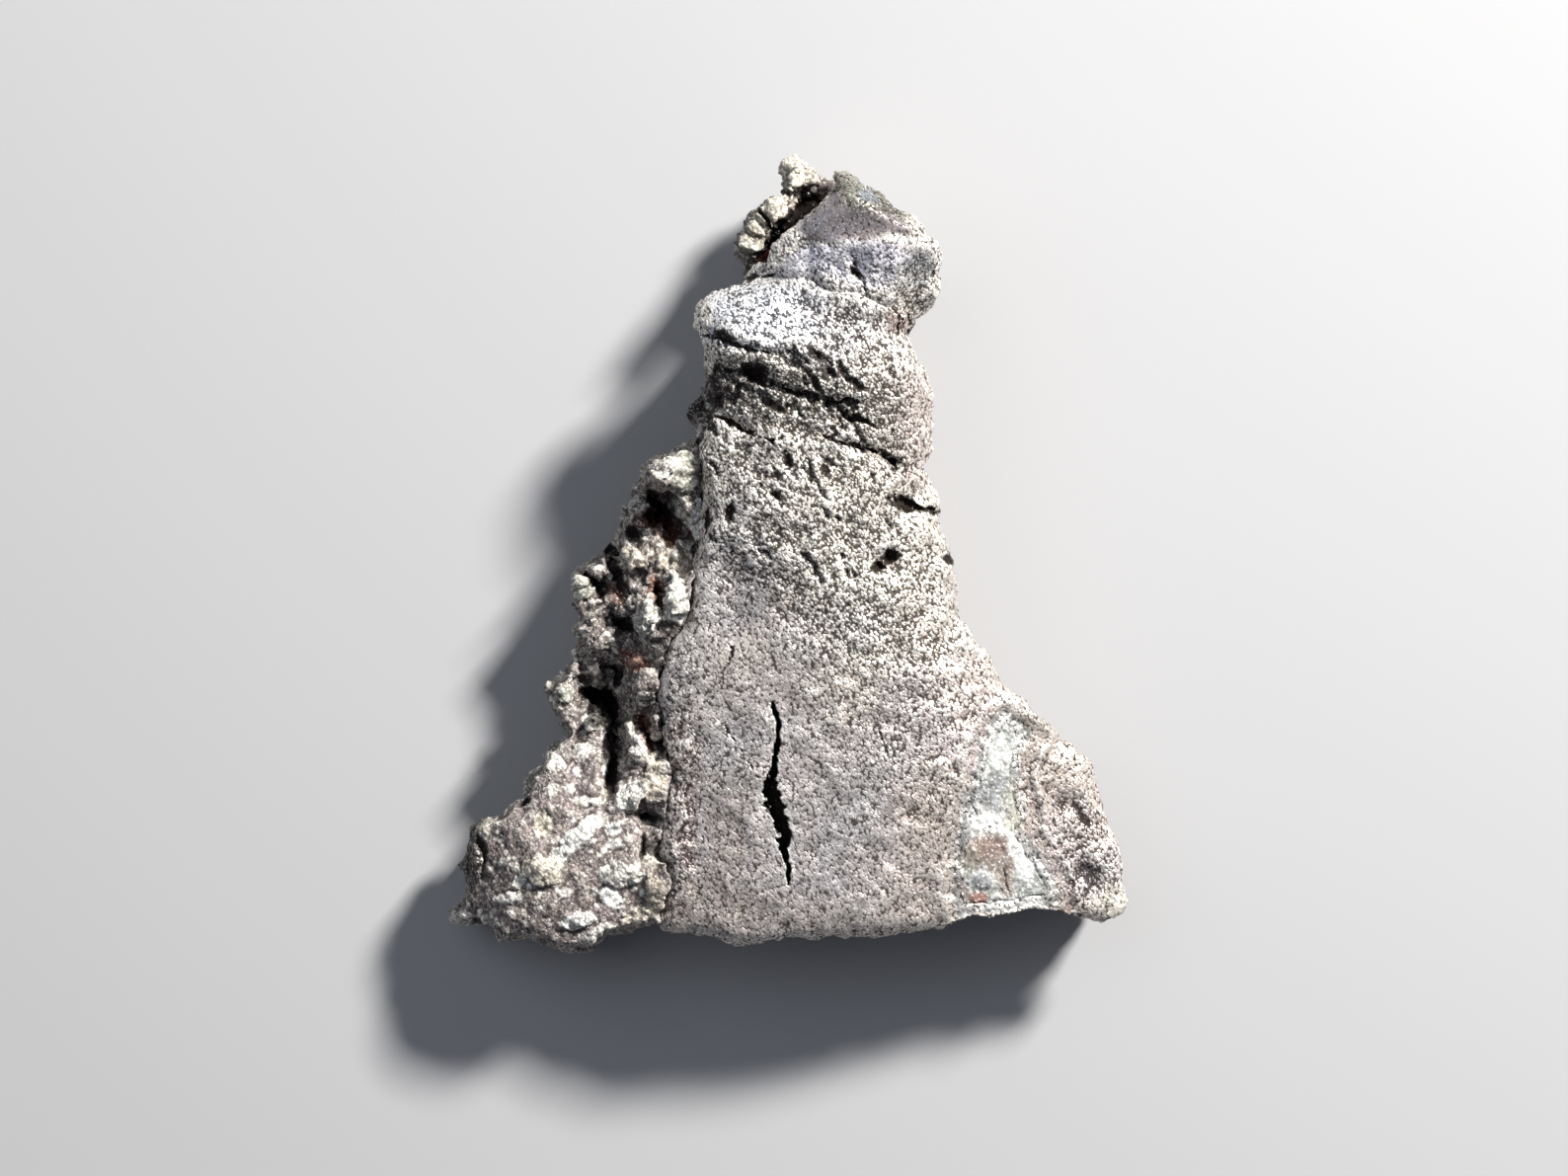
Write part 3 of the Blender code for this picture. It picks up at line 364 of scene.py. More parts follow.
# pits carved into the silver and painted near-black as shade; the long one at the left edge, by the rock, is a
# painted shadow
SILVER_PITS = all_of(Spot, (
    (-4.0, 22.7, 1.5, 1.0, -20, 0.9), (12.8, -0.4, 1.2, 0.7, 35, 1.0), (11.4, -1.6, 0.9, 0.7, 40, 0.9),
    (14.3, 6.6, 1.2, 0.9, -20, 0.8), (20.6, -0.3, 0.9, 0.6, 60, 0.7), (-7.4, 5.3, 1.3, 0.5, 75, 0.6),
    (0.0, 12.0, 1.4, 0.5, -65, 0.6), (4.6, 10.6, 0.9, 0.5, -50, 0.5), (-1.2, 7.2, 0.9, 0.4, -60, 0.5),
    (16.4, 35.7, 1.9, 1.4, 65, 0.15), (38.6, -41.0, 1.5, 0.9, 60, 0.12),
    (37.2, -33.0, 1.6, 0.6, -55, 0.3), (-10.2, 4.4, 1.2, 0.4, 85, 0.5), (3.6, 25.0, 1.0, 0.5, -40, 0.5),
    (5.3, 22.9, 0.9, 0.5, -30, 0.5), (-9.7, 20.0, 3.0, 0.8, 84, 0.8), (-8.2, 27.6, 1.6, 0.5, -18, 0.5),
    (-6.4, 20.4, 0.9, 0.5, 60, 0.5), (-1.6, 18.6, 1.2, 0.5, -30, 0.5), (8.4, 21.4, 1.1, 0.5, -40, 0.5),
    (3.4, 21.6, 1.0, 0.5, -50, 0.5),
))
CALCITE_EDGE = (
    (27.4, -19.9), (29.4, -21.5), (30.2, -23.0), (29.2, -25.2), (28.6, -28.3), (29.6, -31.4),
    (29.5, -35.2), (31.3, -38.2), (33.4, -41.2), (34.0, -43.6), (32.7, -44.1), (31.5, -43.6),
    (27.6, -44.6), (25.2, -45.0), (24.0, -44.6), (21.4, -45.4), (20.8, -42.6), (21.5, -38.6),
    (21.9, -34.6), (22.7, -31.6), (23.4, -27.8), (24.5, -24.2), (25.8, -21.4),
)
HEAD_FACET = (
    (2.0, 40.0), (1.2, 41.0), (2.0, 41.9), (5.6, 45.0), (8.0, 43.3), (10.0, 42.8), (12.6, 42.5),
    (14.4, 41.4), (14.7, 40.4), (10.0, 39.6), (7.7, 39.2), (3.3, 39.0),
)
FACET_GRAIN = np.array(((0.5, -0.9, 0), (0.35, 0.9, 0), (0, 0, 1)))  # its fine streaks run up to the right
STREAK_TURN = math.radians(-58)  # the neck's streaks run down to the right
ALONG_STREAKS = np.array((math.cos(STREAK_TURN), math.sin(STREAK_TURN), 0))
ACROSS_STREAKS = np.array((-math.sin(STREAK_TURN), math.cos(STREAK_TURN), 0))
ROUGH_ZONES = all_of(Spot, (  # where the grains stand up most, and where they are calm
    (3.0, 12.0, 20.0, 14.0, 85, 0.75), (12.0, -4.0, 12.0, 8.0, -60, 0.35),
    (-14.0, -30.0, 16.0, 2.6, 88, 0.4), (38.0, -38.0, 7.0, 4.0, -70, 0.4), (-8.0, 31.0, 5.0, 4.0, 0, 0.3),
    (11.0, 33.5, 9.0, 3.0, -10, 0.45), (-0.8, 38.6, 5.0, 1.6, 48, 0.55), (3.8, 45.8, 3.4, 1.2, 60, 0.45),
    (16.5, 41.0, 4.0, 1.2, -48, 0.45), (19.0, 35.0, 0.9, 5.0, 0, 0.5), (8.0, 37.5, 11.0, 2.4, 0, 0.2),
    (14.0, -20.0, 14.0, 8.0, -55, 0.2),
))
CALM_GRAIN = 0.45  # how strongly the grains stand up outside these zones
GRAIN_SIZE = 0.55
PIT_SIZE, PIT_DEPTH = 1.25, 0.6  # the neck's pits, which are drawn out along its streaks
NECK = Spot(2.0, 13.0, 19.0, 14.0, 85)
TORN_GROUND = Spot(0.0, 21.0, 12.0, 4.5, -10)  # where the pits lie closest
BRIGHT_BAND = Spot(8.0, 36.4, 11.0, 3.4, 0)  # the head's band under its facet, where the pockets get little painted shade and dirt
MOST_DIRT_AND_SHADE = 0.62  # bright grains still show through the painted shade and dirt of a pocket

# --- The silver's colours ---
GREY_SILVER = (0.405, 0.36, 0.33)
BLUE_WHITE = (0.58, 0.62, 0.71)
CREAM = (0.66, 0.61, 0.53)
PINK_CREAM = (0.52, 0.43, 0.41)
LAVENDER = (0.39, 0.365, 0.38)
DUSK = (0.155, 0.145, 0.175)
UMBER = (0.16, 0.115, 0.10)
TARNISH = (0.24, 0.20, 0.18)
WARM_WHITE = (0.56, 0.52, 0.47)
BROWNISH = (0.35, 0.285, 0.25)
COOL_GREY = (0.36, 0.375, 0.41)
# the silver's gap colour: brown-black between its grains, and the painted shade and dirt of its hollows
GAP_AND_SHADE_BROWN = (0.015, 0.009, 0.006)
# near-black for painted shadow and shade: the head's left side, cracks, pits and rock hollows; also the rock's
# grain gaps
GAP_AND_SHADOW_BLACK = (0.008, 0.005, 0.004)
DULL_CRESTS = (  # where crests get little of the painted highlight
    Spot(9.8, 42.8, 7.5, 3.6, -32, 0.95), Spot(12.8, 11.5, 7.5, 4.5, 80, 0.7),
)
# painted highlight: the pale colour given to the crests of the relief
CREST_HIGHLIGHT = (0.86, 0.83, 0.78)
SCRATCHED = (0.80, 0.78, 0.72)
BEHIND_HEAD = Spot(-0.7, 42.1, 7.2, 1.1, 46)  # the head's steep left side, painted near-black as shadow
# colours of the silver; a few ovals, marked below, are painted light and shade
SILVER_TINTS = all_of(Stain, (
    (3.0, 13.0, 20.0, 15.0, 85, WARM_WHITE, 0.65), (12.0, 3.0, 12.0, 9.0, 80, CREAM, 0.6),
    (12.8, 11.5, 7.0, 4.0, 80, (0.22, 0.195, 0.175), 0.5),
    (14.0, -12.0, 12.0, 7.0, -60, (0.72, 0.67, 0.60), 0.65),
    (20.0, -20.0, 9.0, 6.0, -55, PINK_CREAM, 0.6), (17.0, 17.0, 9.0, 3.0, 85, PINK_CREAM, 0.5),
    (1.0, -31.0, 17.0, 15.0, 90, LAVENDER, 0.6), (17.0, -38.0, 9.0, 7.0, 90, PINK_CREAM, 0.3),
    (-6.5, -2.0, 9.0, 4.5, 84, LAVENDER, 0.65), (-14.0, -30.0, 18.0, 3.0, 89, (0.20, 0.145, 0.135), 0.75),
    (-6.0, -45.0, 10.0, 4.0, 0, UMBER, 0.3), (-7.4, -28.0, 12.0, 3.2, 88, (0.28, 0.25, 0.235), 0.5),
    (36.0, -36.0, 9.0, 5.5, -65, (0.40, 0.335, 0.33), 0.7), (41.0, -44.0, 2.6, 2.2, 0, CREAM, 0.8),
    (38.6, -41.0, 2.2, 1.4, 60, DUSK, 0.35), (37.2, -32.8, 2.4, 1.0, -55, DUSK, 0.4),
    (6.6, -17.2, 4.0, 3.4, 20, WARM_WHITE, 0.6), (1.5, 29.4, 9.5, 4.6, -10, BLUE_WHITE, 0.4),
    (-2.5, 29.8, 8.0, 4.2, 0, BLUE_WHITE, 0.5), (-6.0, 30.2, 6.5, 3.8, 6, BLUE_WHITE, 0.5),
    (9.0, 29.0, 6.0, 3.6, -25, (0.27, 0.25, 0.265), 0.6), (12.0, 26.0, 3.0, 2.0, -20, CREAM, 0.5),
    # the second oval here, the head's band under its facet, is its lavender-white colour made paler as painted
    # light, for a slope turned from the light
    (-11.0, 30.2, 1.6, 2.4, 10, CREAM, 0.7), (8.0, 36.6, 10.5, 2.9, 0, (0.88, 0.85, 0.96), 0.95),
    (5.0, 34.3, 5.0, 1.1, -8, WARM_WHITE, 0.7), (15.0, 33.0, 4.5, 2.6, 10, WARM_WHITE, 0.6),
    (-0.6, 38.8, 5.0, 1.5, 48, (0.92, 0.86, 0.78), 0.95),
    (3.6, 45.4, 3.0, 1.0, 60, (0.72, 0.68, 0.62), 0.8),
    # painted shade: the next two ovals darken the facet's right and the slope above it, which face the light
    (10.6, 43.8, 6.0, 2.4, -36, (0.14, 0.14, 0.115), 0.85),
    (12.0, 41.9, 3.6, 1.8, -28, (0.09, 0.078, 0.07), 0.8),
    (10.0, 45.0, 1.6, 0.7, -20, (0.20, 0.23, 0.28), 0.7), (16.4, 41.0, 2.0, 1.2, -40, CREAM, 0.6),
    # the next two ovals, the white ledge under the facet, are partly its pale colour and partly a painted
    # highlight
    (5.5, 39.0, 2.6, 0.45, 0, (0.85, 0.83, 0.80), 0.9),
    (15.4, 39.4, 2.8, 0.5, -8, (0.80, 0.78, 0.75), 0.8),
    (16.3, 35.9, 2.5, 2.0, 70, (0.20, 0.225, 0.24), 0.75), (18.9, 35.6, 0.6, 3.2, 0, WARM_WHITE, 0.7),
    (13.6, 29.8, 1.6, 1.2, -60, (0.30, 0.12, 0.06), 0.5),
    (12.2, -1.0, 1.8, 1.2, 35, (0.14, 0.05, 0.025), 0.7), (5.0, 8.5, 4.0, 2.2, -30, CREAM, 0.4),
))
SCRATCHES = (
    ((-12.6, -23.1, 0.35), (-11.0, -22.2, 0.2), (-9.6, -21.7, 0.35), (-8.4, -20.8, 0.25)),
    ((-1.6, -12.2, 0.3), (1.0, -11.4, 0.25), (5.0, -11.2, 0.3), (8.0, -11.6, 0.3), (10.2, -12.6, 0.3),
     (10.9, -14.4, 0.25)),
)


def silver_spacing(middles, normals):
    """The longest side wanted at each place of the silver."""
    wished = np.full(len(middles), FINE_SIDE)
    for cleft in (OPEN_CRACK, *SILVER_CLEFTS):
        distance, width = beside(middles, cleft.path)
        wished[distance < width / 2 + 0.25] = CRACK_SIDE
    wished[normals[:, 2] < 0.35] = FLANK_SIDE
    wished[normals[:, 2] < -0.35] = UNSEEN_SIDE
    return wished


def on_facet(points):
    """1 on the head's smooth facet, fading at its ragged edge."""
    return eased((inside_loop(points, HEAD_FACET) + 0.7 * rough(points, 1.3, 75)) / 1.6 + 0.55)


def silver_roughness(points):
    """How strongly the grains stand up, from 0 to 1."""
    strength = np.full(len(points), CALM_GRAIN)
    for zone in ROUGH_ZONES:
        strength += zone.amount * over(points, zone, 0.25, 0.8)
    return np.clip(strength, 0, 1) * (1 - 0.8 * on_facet(points))


def calcite_depth(points):
    """Distance to the calcite's ragged edge, positive inside it."""
    return inside_loop(points, CALCITE_EDGE) + 0.55 * rough(points, 1.7, 71)


def heights_from(known, places, power=3):
    """The height at each place, from known points weighed by nearness, and how far off the nearest one is."""
    apart = np.linalg.norm(places[:, None, :2] - known[None, :, :2], axis=2)
    weight = 1 / (apart + 0.05) ** power
    return (weight * known[:, 2]).sum(axis=1) / weight.sum(axis=1), apart.min(axis=1)


CALCITE_BED = 0.9  # under the calcite the silver lies this far below it
LEVELLED = (-2.6, 0.9)  # between these distances from its edge, the silver is levelled with it
LEVELLED_FROM = -4.2  # by the heights that the silver has out to here


def fill_trough(skin):
    """Brings the silver up round and under the calcite, so that the vein sits flush in it."""
    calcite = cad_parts["calcite_patch"].data
    tops = np.array([v.co[:] for v in calcite.vertices]) / MM
    normals = np.array([v.normal[:] for v in calcite.vertices])
    tops = tops[normals[:, 2] > 0.5]
    low, high = tops.min(axis=0) - 4, tops.max(axis=0) + 4
    inside = np.all((skin.points[:, :2] > low[:2]) & (skin.points[:, :2] < high[:2]), axis=1)
    near = np.flatnonzero(inside & (skin.facing() > -0.3))
    height, away = heights_from(tops, skin.points[near], power=4)
    depth = calcite_depth(skin.points[near])
    share = eased((3.4 - away) / 1.4)
    lifted = np.maximum(skin.points[near, 2], height - 0.05 - CALCITE_BED * eased((depth - 0.9) / 0.7))
    skin.points[near, 2] += (lifted - skin.points[near, 2]) * share
    depth, facing = calcite_depth(skin.points), skin.facing()
    outer, inner = LEVELLED
    ring = np.flatnonzero((depth > outer) & (depth < inner) & (facing > 0.2))
    beyond = np.flatnonzero((depth > LEVELLED_FROM) & (depth < outer) & (facing > 0.6))
    skin.points[ring, 2], _ = heights_from(np.concatenate((tops, skin.points[beyond])), skin.points[ring])


def close_crack(skin):
    """Levels the face across the open crack, which is then cut afresh with steep rough walls."""
    distance, _ = beside(skin.points, OPEN_CRACK.path)
    on_sheet = skin.points[:, 2] > 14
    near = np.flatnonzero((distance < 2.0) & on_sheet & (skin.facing() > -0.2))
    around = np.flatnonzero((distance > 1.9) & (distance < 2.8) & on_sheet & (skin.facing() > 0.7))
    skin.points[near, 2], _ = heights_from(skin.points[around], skin.points[near])


def make_silver(material):
    skin = Skin("native_silver", silver_spacing)
    close_crack(skin)
    skin.ease(SILVER_EASING)
    fill_trough(skin)
    skin.ease(1)
    points = skin.points.copy()
    up = eased(skin.facing() * 2 - 0.2)
    strength = silver_roughness(points)
    bare = 1 - np.clip((0.3 - strength) / 0.3, 0, 1)

    relief = 0.30 * rough(points, 3.4, 3) * (0.25 + 0.75 * strength)
    relief += 0.16 * rough(points, 1.5, 5) * (0.2 + strength)
    distance, tag, _, lean = pebbles(points, GRAIN_SIZE, 40)
    relief += strength * (0.08 * (1 - 1.6 * distance) + 0.10 * (tag - 0.5) + 0.10 * lean)
    along, across = points @ ALONG_STREAKS, points @ ACROSS_STREAKS
    grooved = np.stack((along * 0.45, across, points[:, 2]), axis=1)
    neck = over(points, NECK, 0.2, 0.6) * eased((29 - points[:, 1]) / 3)
    torn = over(points, TORN_GROUND, 0.3, 0.8)
    pitted = eased((rough(grooved, PIT_SIZE, 61) - 0.42 + 0.22 * torn) / 0.22) * neck
    relief -= PIT_DEPTH * pitted
    edge = 0.45 * rough(points, 2.0, 63) + 0.32 * rough(points, 0.85, 65)
    distance, width = beside(points, HEAD_FOLD)
    relief += HEAD_FOLD_FILL * np.exp(-((distance / width * 1.25) ** 2)) * up
    distance, width = beside(points, HEAD_RIM)
    relief += HEAD_RIM_RISE * np.exp(-((distance / width) ** 2)) * up
    skin.raise_by(relief * up + edge * (1 - up))

    carved = np.zeros(len(points))
    for cleft in (OPEN_CRACK, *SILVER_CLEFTS):
        carved = np.maximum(carved, cut_by(points, cleft))
    for pit in SILVER_PITS:
        carved = np.maximum(carved, pit.amount * over(points, pit, 0.6, 0.9))
    skin.points[:, 2] -= carved * up

    tone = tinted(GREY_SILVER, points, SILVER_TINTS)
    # painted shade: the head's smooth facet is drawn dark, as it looks facing away from the light and
    # mirroring the dark
    facet = on_facet(points)
    tone = blended(tone, DUSK, 0.9 * facet)
    tarnished = eased((points[:, 0] - 3) / 6) * 0.5 + eased(rough(points @ FACET_GRAIN, 1.2, 21) * 1.3 + 0.3)
    tone = blended(tone, TARNISH, 0.6 * facet * np.clip(tarnished, 0, 1))
    plate = eased((-points[:, 1] - 2) / 8)
    warmth = rough(points, 8.0, 73)
    tone = blended(tone, BROWNISH, 0.5 * plate * eased(warmth * 1.3))
    tone = blended(tone, COOL_GREY, 0.3 * plate * eased(-warmth * 1.3))
    tone *= (1 + 0.16 * rough(points, 5.0, 13) + 0.14 * rough(points, 1.6, 15))[:, None]
    worn = 0.8 + rough(points, 0.5, 23)
    for path in SCRATCHES:
        distance, width = beside(points, path)
        tone = blended(tone, SCRATCHED, 0.75 * eased((width * worn - distance) / 0.15))
    # painted shade: faces turned down are drawn towards umber
    under = eased(0.15 - skin.facing())
    tone = blended(tone, UMBER, 0.5 * under)
    # painted shadow: the head's steep left side is drawn near-black
    tone = blended(tone, GAP_AND_SHADOW_BLACK, 0.95 * over(points, BEHIND_HEAD, 0.2, 0.3))
    # painted shade: cracks, clefts and pits are drawn near-black by their depth
    tone = blended(tone, GAP_AND_SHADOW_BLACK, 0.9 * np.clip(carved / 0.6, 0, 1))

    pocket = np.clip(skin.hollow(FINE_RELIEF) / 0.10, -1, 1.5)
    pocket += np.clip(skin.hollow(BROAD_RELIEF) / 0.35, -0.5, 1.5)
    bright_band = over(points, BRIGHT_BAND, 0.1, 0.5)
    vein_edge = eased((calcite_depth(points) + 2.4) / 1.2)
    free_of_shade_and_dirt = (1 - 0.9 * bright_band) * (1 - vein_edge)
    # painted shade and dirt: pockets, pits, the torn ground and the carved places are darkened; in pockets the
    # bright band and the calcite's edge are spared
    dirt = free_of_shade_and_dirt * np.clip(pocket, 0, 1) * (0.2 + 0.6 * strength) + 0.5 * pitted + 0.3 * torn * up
    dirt = np.clip(np.minimum(dirt, MOST_DIRT_AND_SHADE) + carved / 0.6, 0, 1)
    # painted highlight: the crests of the relief are drawn pale
    crest_highlight = np.clip(-pocket, 0, 1) * strength
    for dull in DULL_CRESTS:
        crest_highlight *= 1 - dull.amount * over(points, dull, 0.2, 0.5)
    tone = blended(tone, CREST_HIGHLIGHT, 0.6 * crest_highlight)
    spread = eased((calcite_depth(points) + 0.9) / 0.9) * up
    tone = blended(tone, tinted(CALCITE_WHITE, points, CALCITE_STAINS), 0.75 * spread)
    return skin.piece(
        "native_silver_sheet", "native_silver", "silver", material, tone, dirt=dirt, coarse=strength * bare
    )


# --- The rock's forms and colours ---
class Clast(NamedTuple):
    """A pebble or crystal set in the rock."""

    x: float
    y: float
    long: float
    wide: float
    turn: float
    rise: float
    colour: tuple


LUMP_SIZE, PEBBLE_SIZE = 3.0, 1.05
CLAST_RAGGED = 0.34
RING_WIDTH, RING_DEPTH = 0.3, 0.10  # a groove runs round each clast
MATRIX = (0.175, 0.145, 0.138)
WORN_ROCK = (0.60, 0.57, 0.52)
PALE = (0.84, 0.81, 0.74)
WHITE = (0.96, 0.94, 0.90)
BUTTER = (0.66, 0.59, 0.49)
TAN = (0.40, 0.345, 0.285)
SAGE = (0.36, 0.36, 0.30)
CLASTS = all_of(Clast, (
    (-1.3, 44.0, 2.4, 1.7, 60, 1.5, BUTTER), (-4.1, 41.9, 2.3, 1.6, 68, 1.4, TAN),
    (-5.4, 39.6, 1.6, 1.2, 40, 1.0, SAGE), (0.6, 48.6, 2.4, 1.9, 60, 1.1, BUTTER),
    (2.6, 48.4, 1.4, 0.8, -40, 0.6, TAN), (-13.2, 18.7, 0.9, 0.7, 20, 0.8, SAGE),
    (-15.4, 11.6, 3.0, 1.7, 20, 0.9, PALE), (-17.2, 9.4, 2.1, 1.0, -12, 0.7, TAN),
    (-13.3, 8.9, 3.2, 1.5, 82, 0.8, SAGE), (-11.9, 5.0, 2.8, 0.6, 84, 0.7, WHITE),
    (-19.4, 7.0, 1.0, 0.7, 0, 0.4, PALE), (-18.6, 5.8, 1.2, 0.7, 30, 0.5, PALE),
    (-15.0, -0.4, 1.8, 1.2, 40, 0.6, BUTTER), (-13.9, 1.2, 1.6, 0.6, 65, 0.6, PALE),
    (-17.6, -7.6, 2.5, 1.6, 78, 0.9, PALE), (-14.4, -5.6, 3.3, 1.2, 88, 0.8, PALE),
    (-14.6, -11.5, 2.2, 0.7, 70, 0.7, WHITE), (-26.6, -3.9, 2.3, 1.1, -40, 1.0, SAGE),
    (-20.0, -0.4, 1.8, 1.3, 10, 0.6, BUTTER), (-19.0, -24.2, 2.0, 0.8, 74, 0.8, WHITE),
    (-24.2, -20.9, 1.9, 1.2, 25, 0.7, PALE), (-20.4, -21.4, 2.6, 0.9, 82, 0.8, BUTTER),
    (-20.0, -30.2, 2.2, 1.4, 35, 0.7, PALE), (-17.2, -28.6, 2.6, 1.0, 85, 0.6, BUTTER),
    (-26.2, -35.3, 3.5, 1.2, 42, 0.7, WHITE), (-29.0, -37.9, 1.5, 0.9, 30, 0.5, WHITE),
    (-31.0, -40.0, 2.5, 1.9, 12, 0.7, BUTTER), (-21.0, -40.3, 2.9, 1.6, -8, 0.7, PALE),
    (-22.4, -43.3, 2.0, 1.1, -35, 0.5, WHITE), (-26.5, -46.2, 2.1, 1.0, 15, 0.5, WHITE),
    (-25.4, -31.0, 2.0, 0.6, -3, 0.5, PALE), (-26.0, -24.7, 1.2, 1.0, 30, 0.5, PALE),
    (-29.6, -26.4, 1.4, 1.1, -35, 0.5, PALE), (-31.0, -34.0, 1.3, 1.5, 0, 0.5, BUTTER),
    (-23.0, -27.0, 0.8, 0.6, 90, 0.4, PALE), (-35.5, -43.3, 1.8, 0.7, 10, 0.4, PALE),
    (-22.0, -34.6, 1.1, 0.8, 20, 0.4, WHITE), (-22.0, -36.4, 1.1, 0.6, 0, 0.4, WHITE),
    (-23.2, -48.0, 2.4, 1.3, 10, 0.5, PALE), (-19.3, -46.0, 2.0, 1.2, 30, 0.4, BUTTER),
    (-34.0, -41.2, 1.2, 0.7, 30, 0.4, PALE), (-28.0, -42.6, 1.0, 0.6, 0, 0.4, PALE),
    (-16.9, -38.0, 2.0, 0.8, 84, 0.5, BUTTER), (-17.2, -42.6, 2.6, 1.0, 86, 0.5, TAN),
    (-37.6, -48.0, 2.0, 0.6, -6, 0.4, SAGE), (-29.8, -29.6, 0.9, 0.7, 0, 0.4, PALE),
    (-27.6, -29.4, 0.7, 0.6, 0, 0.3, WHITE), (-26.8, -27.4, 0.6, 0.5, 0, 0.3, WHITE),
    (-28.4, -17.6, 1.2, 0.8, 50, 0.5, SAGE), (-41.6, -45.9, 1.6, 0.7, 20, 0.4, PALE),
))
# hollows sunk into the rock, and painted near-black as shade where they lie
HOLLOWS = all_of(Spot, (
    (-15.6, 5.2, 3.6, 1.5, -64, 1.6), (-17.3, 4.5, 1.7, 0.6, -78, 0.9), (-21.9, -1.2, 3.0, 0.9, -70, 1.2),
    (-24.8, -3.4, 2.4, 0.8, -42, 1.2), (-20.8, -8.6, 2.0, 1.1, -15, 1.3),
    (-16.3, -5.2, 1.7, 0.5, -84, 1.2), (-21.7, -15.2, 1.6, 0.7, -68, 1.0),
    (-23.1, -19.4, 2.9, 1.9, -48, 1.8), (-22.3, -27.6, 3.0, 0.7, 84, 1.1),
    (-17.9, -23.0, 1.9, 0.6, -75, 1.1), (-16.3, -23.8, 1.1, 0.6, 80, 0.9),
    (-17.8, -33.0, 0.8, 0.6, 0, 0.8), (-18.4, -37.0, 1.5, 0.3, 85, 0.7), (-33.6, -31.1, 0.9, 0.7, 0, 0.8),
    (-39.2, -36.0, 2.2, 0.5, -65, 0.8), (-11.7, 11.4, 3.0, 0.4, 84, 0.6),
    (-22.6, -24.4, 1.8, 0.9, 85, 1.1), (-19.6, 2.6, 1.4, 0.8, -50, 0.8), (0.6, 42.4, 6.4, 1.5, 48, 0.8),
    (-0.6, 46.6, 1.3, 0.25, -62, 0.5), (-5.2, 39.9, 1.1, 0.22, -70, 0.4),
    (-12.3, 0.0, 2.0, 0.35, 85, 0.7), (-3.0, 43.0, 1.9, 0.35, -75, 0.9),
))
COBBLED_GROUND = Spot(-29.0, -38.0, 15.0, 12.5, 30)  # the flatter ground of the lower left
SEAM_RISE = 1.3  # the rock stands up against the silver by this much
SEAM_OVERLAP = 0.45  # and reaches this far under its worn edge
BED_RISE = 0.9  # where the silver covers it, the rock reaches this far up into it
ROCK_CLEFTS = (
    Cleft(((-37.4, -46.4, 0.1), (-36.4, -47.6, 0.3), (-34.4, -48.1, 0.2)), 0.5),
    Cleft(((-32.9, -46.8, 0.1), (-32.6, -48.4, 0.25)), 0.4),
    Cleft(((-38.6, -33.8, 0.5), (-39.7, -36.0, 0.5), (-38.4, -38.4, 0.3), (-38.8, -41.0, 0.4)), 0.8),
)
RUST = (0.20, 0.065, 0.03)
# rust stains, and ovals of painted shadow, marked below
RUST_AND_SHADOW = all_of(Stain, (
    (-0.7, 46.6, 1.3, 0.28, -62, (0.06, 0.045, 0.03), 0.9),
    (-1.9, 46.0, 0.9, 0.22, -66, (0.10, 0.08, 0.06), 0.8),
    (-5.4, 40.2, 1.1, 0.3, -72, (0.06, 0.045, 0.03), 0.9),
    (-4.2, 43.6, 0.7, 0.25, -70, (0.10, 0.08, 0.06), 0.7),
    # painted shadow: the hollow behind the silver's head, drawn near-black
    (0.0, 41.4, 7.0, 1.9, 46, (0.004, 0.0025, 0.002), 0.97),
    (-2.8, 38.4, 1.8, 0.8, 45, (0.06, 0.004, 0.002), 0.9),
    (1.0, 44.2, 0.9, 0.4, 30, (0.04, 0.003, 0.002), 0.9),
    (0.2, 40.9, 1.2, 0.4, 50, (0.035, 0.012, 0.005), 0.7),
    (-19.6, -13.2, 2.0, 1.2, -30, (0.24, 0.07, 0.04), 0.7), (-18.0, 4.6, 1.6, 1.2, 0, RUST, 0.6),
    (-16.8, -4.4, 2.2, 0.8, -80, RUST, 0.7), (-15.4, 3.2, 2.0, 1.4, -60, RUST, 0.5),
    (-18.2, -22.4, 2.4, 0.9, -75, RUST, 0.6), (-21.6, -5.0, 2.0, 1.0, -60, RUST, 0.5),
    # painted shadow: the rock in shade by the silver's left edge, and the rock's left side wall
    (-11.9, 19.4, 1.4, 2.4, 0, GAP_AND_SHADOW_BLACK, 0.9), (-40.0, -38.5, 5.0, 1.6, 90, (0.06, 0.045, 0.04), 0.75),
))


def silver_near(points):
    """How far below the silver's underside each point lies, with 99 where none hangs over it, and the nearest
    place on the silver."""
    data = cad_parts["native_silver"].data
    tree = BVHTree.FromPolygons([v.co[:] for v in data.vertices], [p.vertices[:] for p in data.polygons])
    over_head, nearest = [], []
    for point in points:
        place = Vector(point) * MM
        hit = tree.ray_cast(place, Vector((0, 0, 1)))
        over_head.append(99.0 if hit[3] is None else hit[3] / MM)
        nearest.append(tree.find_nearest(place)[0] / MM)
    return np.array(over_head), np.array(nearest)


def rock_spacing(middles, normals):
    """The longest side wanted at each place of the rock."""
    wished = np.full(len(middles), ROCK_SIDE)
    top = normals[:, 2] > 0.35
    wished[top] = FINE_SIDE
    shown = middles[:, 0] < -9
    behind_head = (middles[:, 1] > 36) & (middles[:, 0] < 8)
    wished[top & ~shown & ~behind_head] = COVERED_SIDE
    wished[(normals[:, 2] < -0.7) & (middles[:, 2] < 2)] = UNSEEN_SIDE
    return wished


